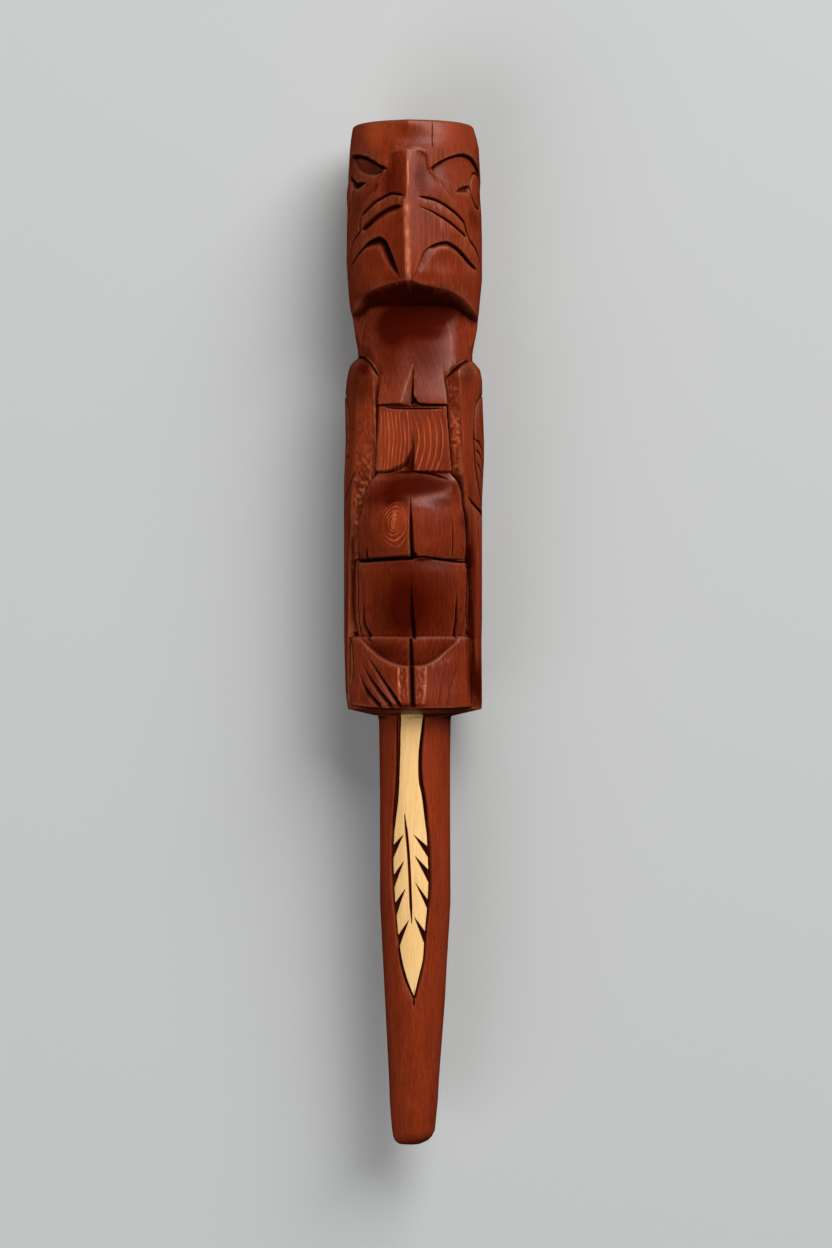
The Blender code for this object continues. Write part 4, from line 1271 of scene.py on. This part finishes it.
def cedarMaterial():
    material = bpy.data.materials.new("stainedCedarSatinVarnish")
    material.use_nodes = True
    tree = material.node_tree
    shader = tree.nodes["Principled BSDF"]
    look = stainedCedar
    place = addNode(tree, "TexCoord", output="Object")
    field = {}
    for name in ("ringLines", "ringShow", "stainShadeAndLight", "wearAndHighlight", "pooledStainAndShade", "endGrain", "bareWood", "roughCut"):
        field[name] = addNode(tree, "Attribute", output="Fac", attribute_name=name)
    noise = {}
    for name, detail in (("fibre", 3), ("pores", 1), ("bands", 2), ("blotches", 3)):
        stretched = addNode(tree, "Mapping", {"Vector": place, "Scale": alongGrain(look[name])})
        noise[name] = addNode(tree, "TexNoise", {"Vector": stretched, "Scale": 1, "Detail": detail,
                                                 "Roughness": 0.55})

    fibre = addNode(tree, "MapRange", {"Value": noise["fibre"], "From Min": 0.35, "From Max": 0.68},
                    interpolation_type="SMOOTHSTEP")
    darkFibre = addNode(tree, "MapRange", {"Value": noise["pores"], "From Min": 0.57, "From Max": 0.7},
                        interpolation_type="SMOOTHSTEP")
    wavering = addNode(tree, "Math", {0: noise["fibre"], 1: 0.35, 2: field["ringLines"]},
                       operation="MULTIPLY_ADD")
    turns = addNode(tree, "Math", {0: wavering, 1: 2 * math.pi}, operation="MULTIPLY")
    wave = addNode(tree, "Math", {0: turns}, operation="SINE")
    ring = addNode(tree, "MapRange", {"Value": wave, "From Min": 0.45, "From Max": 1.0},
                   interpolation_type="SMOOTHSTEP")
    shown = addNode(tree, "Math", {0: ring, 1: field["ringShow"]}, operation="MULTIPLY", use_clamp=True)
    broken = addNode(tree, "Math", {0: fibre, 1: 0.6, 2: 0.4}, operation="MULTIPLY_ADD")
    ringMask = addNode(tree, "Math", {0: shown, 1: broken}, operation="MULTIPLY", use_clamp=True)

    # darker where the tone is high: stain, and painted shade; lighter where it is low: stain, and painted
    # light
    deep = addNode(tree, "Math", {0: noise["blotches"], 1: 1.5, 2: -0.55}, operation="MULTIPLY_ADD")
    deeperStainAndShade = addNode(tree, "Math", {0: field["stainShadeAndLight"], 1: 0.9, 2: deep}, operation="MULTIPLY_ADD",
                     use_clamp=True)
    soakedAndShaded = addNode(tree, "Math", {0: field["stainShadeAndLight"], 1: 0.7}, operation="SUBTRACT", use_clamp=True)
    paleStainAndLight = addNode(tree, "Math", {0: field["stainShadeAndLight"], 1: -0.75}, operation="MULTIPLY", use_clamp=True)
    wornAndHighlit = addNode(tree, "Math", {0: fibre, 1: 0.4, 2: 0.5}, operation="MULTIPLY_ADD")
    strongRing = addNode(tree, "Math", {0: field["ringShow"], 1: 1.6, 2: -0.95}, operation="MULTIPLY_ADD",
                         use_clamp=True)
    layers = [  # how much of the layer shows, and its colour
        (deeperStainAndShade, look["deepStainAndShade"]),
        (addNode(tree, "Math", {0: fibre, 1: 0.3}, operation="MULTIPLY"), look["ringLight"]),
        (paleStainAndLight, look["ringLight"]),
        (addNode(tree, "Math", {0: ringMask, 1: 0.45}, operation="MULTIPLY"), look["ringLight"]),
        (addNode(tree, "Math", {0: field["endGrain"], 1: 0.6}, operation="MULTIPLY"), look["endGrain"]),
        (addNode(tree, "Math", {0: darkFibre, 1: 0.42}, operation="MULTIPLY"), look["endGrain"]),
        (addNode(tree, "Math", {0: ringMask, 1: strongRing}, operation="MULTIPLY"), look["ringGold"]),
        (addNode(tree, "Math", {0: field["wearAndHighlight"], 1: wornAndHighlit}, operation="MULTIPLY", use_clamp=True),
         look["wornAndHighlit"]),
        (soakedAndShaded, look["soakedAndShaded"]),
        (field["pooledStainAndShade"], look["pooledStainAndShade"]),
    ]
    colour = toLinear(look["stain"])
    for share, tint in layers:
        colour = addNode(tree, "Mix", {"Factor": share, 6: colour, 7: toLinear(tint)}, output=2,
                         data_type="RGBA")
    bareFibre = addNode(tree, "Math", {0: noise["bands"], 1: 0.8, 2: fibre}, operation="MULTIPLY_ADD")
    bareTone = addNode(tree, "Math", {0: bareFibre, 1: 0.4}, operation="MULTIPLY", use_clamp=True)
    bareColours = {6: toLinear(look["bare"]), 7: toLinear(look["bareFibre"])}
    bare = addNode(tree, "Mix", {"Factor": bareTone, **bareColours}, output=2, data_type="RGBA")
    bareShare = addNode(tree, "MapRange", {"Value": field["bareWood"], "From Min": -0.08, "From Max": 0.12},
                        interpolation_type="SMOOTHSTEP")
    colour = addNode(tree, "Mix", {"Factor": bareShare, 6: colour, 7: bare}, output=2, data_type="RGBA")
    tree.links.new(colour, shader.inputs["Base Color"])

    gloss = addNode(tree, "Math", {0: noise["fibre"], 1: 0.1, 2: look["roughness"] - 0.05},
                    operation="MULTIPLY_ADD")
    gloss = addNode(tree, "Math", {0: field["roughCut"], 1: 0.1, 2: gloss}, operation="MULTIPLY_ADD")
    gloss = addNode(tree, "Math", {0: bareShare, 1: 0.2, 2: gloss}, operation="MULTIPLY_ADD")
    tree.links.new(gloss, shader.inputs["Roughness"])
    shader.inputs["IOR"].default_value = look["ior"]
    dullInShade = addNode(tree, "Math", {0: field["pooledStainAndShade"], 1: soakedAndShaded}, operation="ADD")
    dullInShade = addNode(tree, "Math", {0: dullInShade, 1: 1.4}, operation="MULTIPLY", use_clamp=True)
    shine = addNode(tree, "Mix", {"Factor": dullInShade, 6: toLinear("#FFFFFF"), 7: toLinear(look["dulledInShade"])},
                    output=2, data_type="RGBA")
    tree.links.new(shine, shader.inputs["Specular Tint"])
    raised = addNode(tree, "Math", {0: noise["fibre"], 1: ringMask}, operation="ADD")
    height = addNode(tree, "Math", {0: darkFibre, 1: -0.6, 2: raised}, operation="MULTIPLY_ADD")
    bump = addNode(tree, "Bump", {"Height": height, "Strength": 0.3, "Distance": 0.06 * mm})
    tree.links.new(bump, shader.inputs["Normal"])
    return material


# A plain pale studio floor, painted matt
floorLook = {"size": 8.0, "colour": "#C3C6C7", "roughness": 0.7}


def makeFloor():
    deselectAll()
    bpy.ops.mesh.primitive_plane_add(size=floorLook["size"])
    floor = bpy.context.object
    floor.name = "studioFloor"
    material = bpy.data.materials.new("mattPaintedFloor")
    material.use_nodes = True
    shader = material.node_tree.nodes["Principled BSDF"]
    shader.inputs["Base Color"].default_value = toLinear(floorLook["colour"])
    shader.inputs["Roughness"].default_value = floorLook["roughness"]
    floor.data.materials.append(material)
    floor.visible_glossy = False


studio = {
    "key": dict(at=(1.5, 2.5, 2.3), size=2.9, watts=190, colour="#FFFEFB", shines=True),
    "fill": dict(at=(-1.6, -1.5, 1.9), size=2.4, watts=34, colour="#FFFFFF", shines=False),
    "sky": dict(colour="#E8E4E0", strength=0.13, shown=0.62),  # shown: how bright the camera sees it
}


def lightStudio():
    for name in ("key", "fill"):
        lamp = studio[name]
        bpy.ops.object.light_add(type="AREA", location=lamp["at"])
        light = bpy.context.object
        light.name = name + "Light"
        light.data.energy = lamp["watts"]
        light.data.size = lamp["size"]
        light.data.color = toLinear(lamp["colour"])[:3]
        light.visible_glossy = lamp["shines"]
        aim = Vector((0, 0, stick["axis"] * mm)) - light.location
        light.rotation_euler = aim.to_track_quat("-Z", "Y").to_euler()
    world = bpy.data.worlds.new("studioSky")
    world.use_nodes = True
    sky = studio["sky"]
    tree = world.node_tree
    background = tree.nodes["Background"]
    background.inputs["Color"].default_value = toLinear(sky["colour"])
    toCamera = addNode(tree, "LightPath", output="Is Camera Ray")
    strength = addNode(tree, "MapRange", {"Value": toCamera, "To Min": sky["strength"],
                                          "To Max": sky["shown"]})
    tree.links.new(strength, background.inputs["Strength"])
    bpy.context.scene.world = world
    world.cycles_visibility.glossy = False  # only the key light shines in the varnish
    bpy.context.scene.view_settings.view_transform = "Standard"


def placeCamera():
    right, up = picture["lookAt"]
    height = stick["axis"] + picture["cameraHeight"]
    over = (right * mm, (up - stick["length"] / 2) * mm, height * mm)
    bpy.ops.object.camera_add(location=over, rotation=(0, 0, 0))
    camera = bpy.context.object
    camera.name = "photoCamera"
    camera.data.sensor_width = picture["film"]
    camera.data.lens = picture["film"] * picture["cameraHeight"] / picture["seenLength"]
    camera.data.clip_end = 20
    bpy.context.scene.camera = camera


carving = carveStick()
carvedStick = makeStick(carving)
keepFields(carvedStick, carving)
carvedStick.data.materials.clear()
carvedStick.data.materials.append(cedarMaterial())
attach(carvedStick, "root")
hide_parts("talking_stick")
print("cedar stick finished")
makeFloor()
lightStudio()
placeCamera()
print("floor, lights and camera placed")
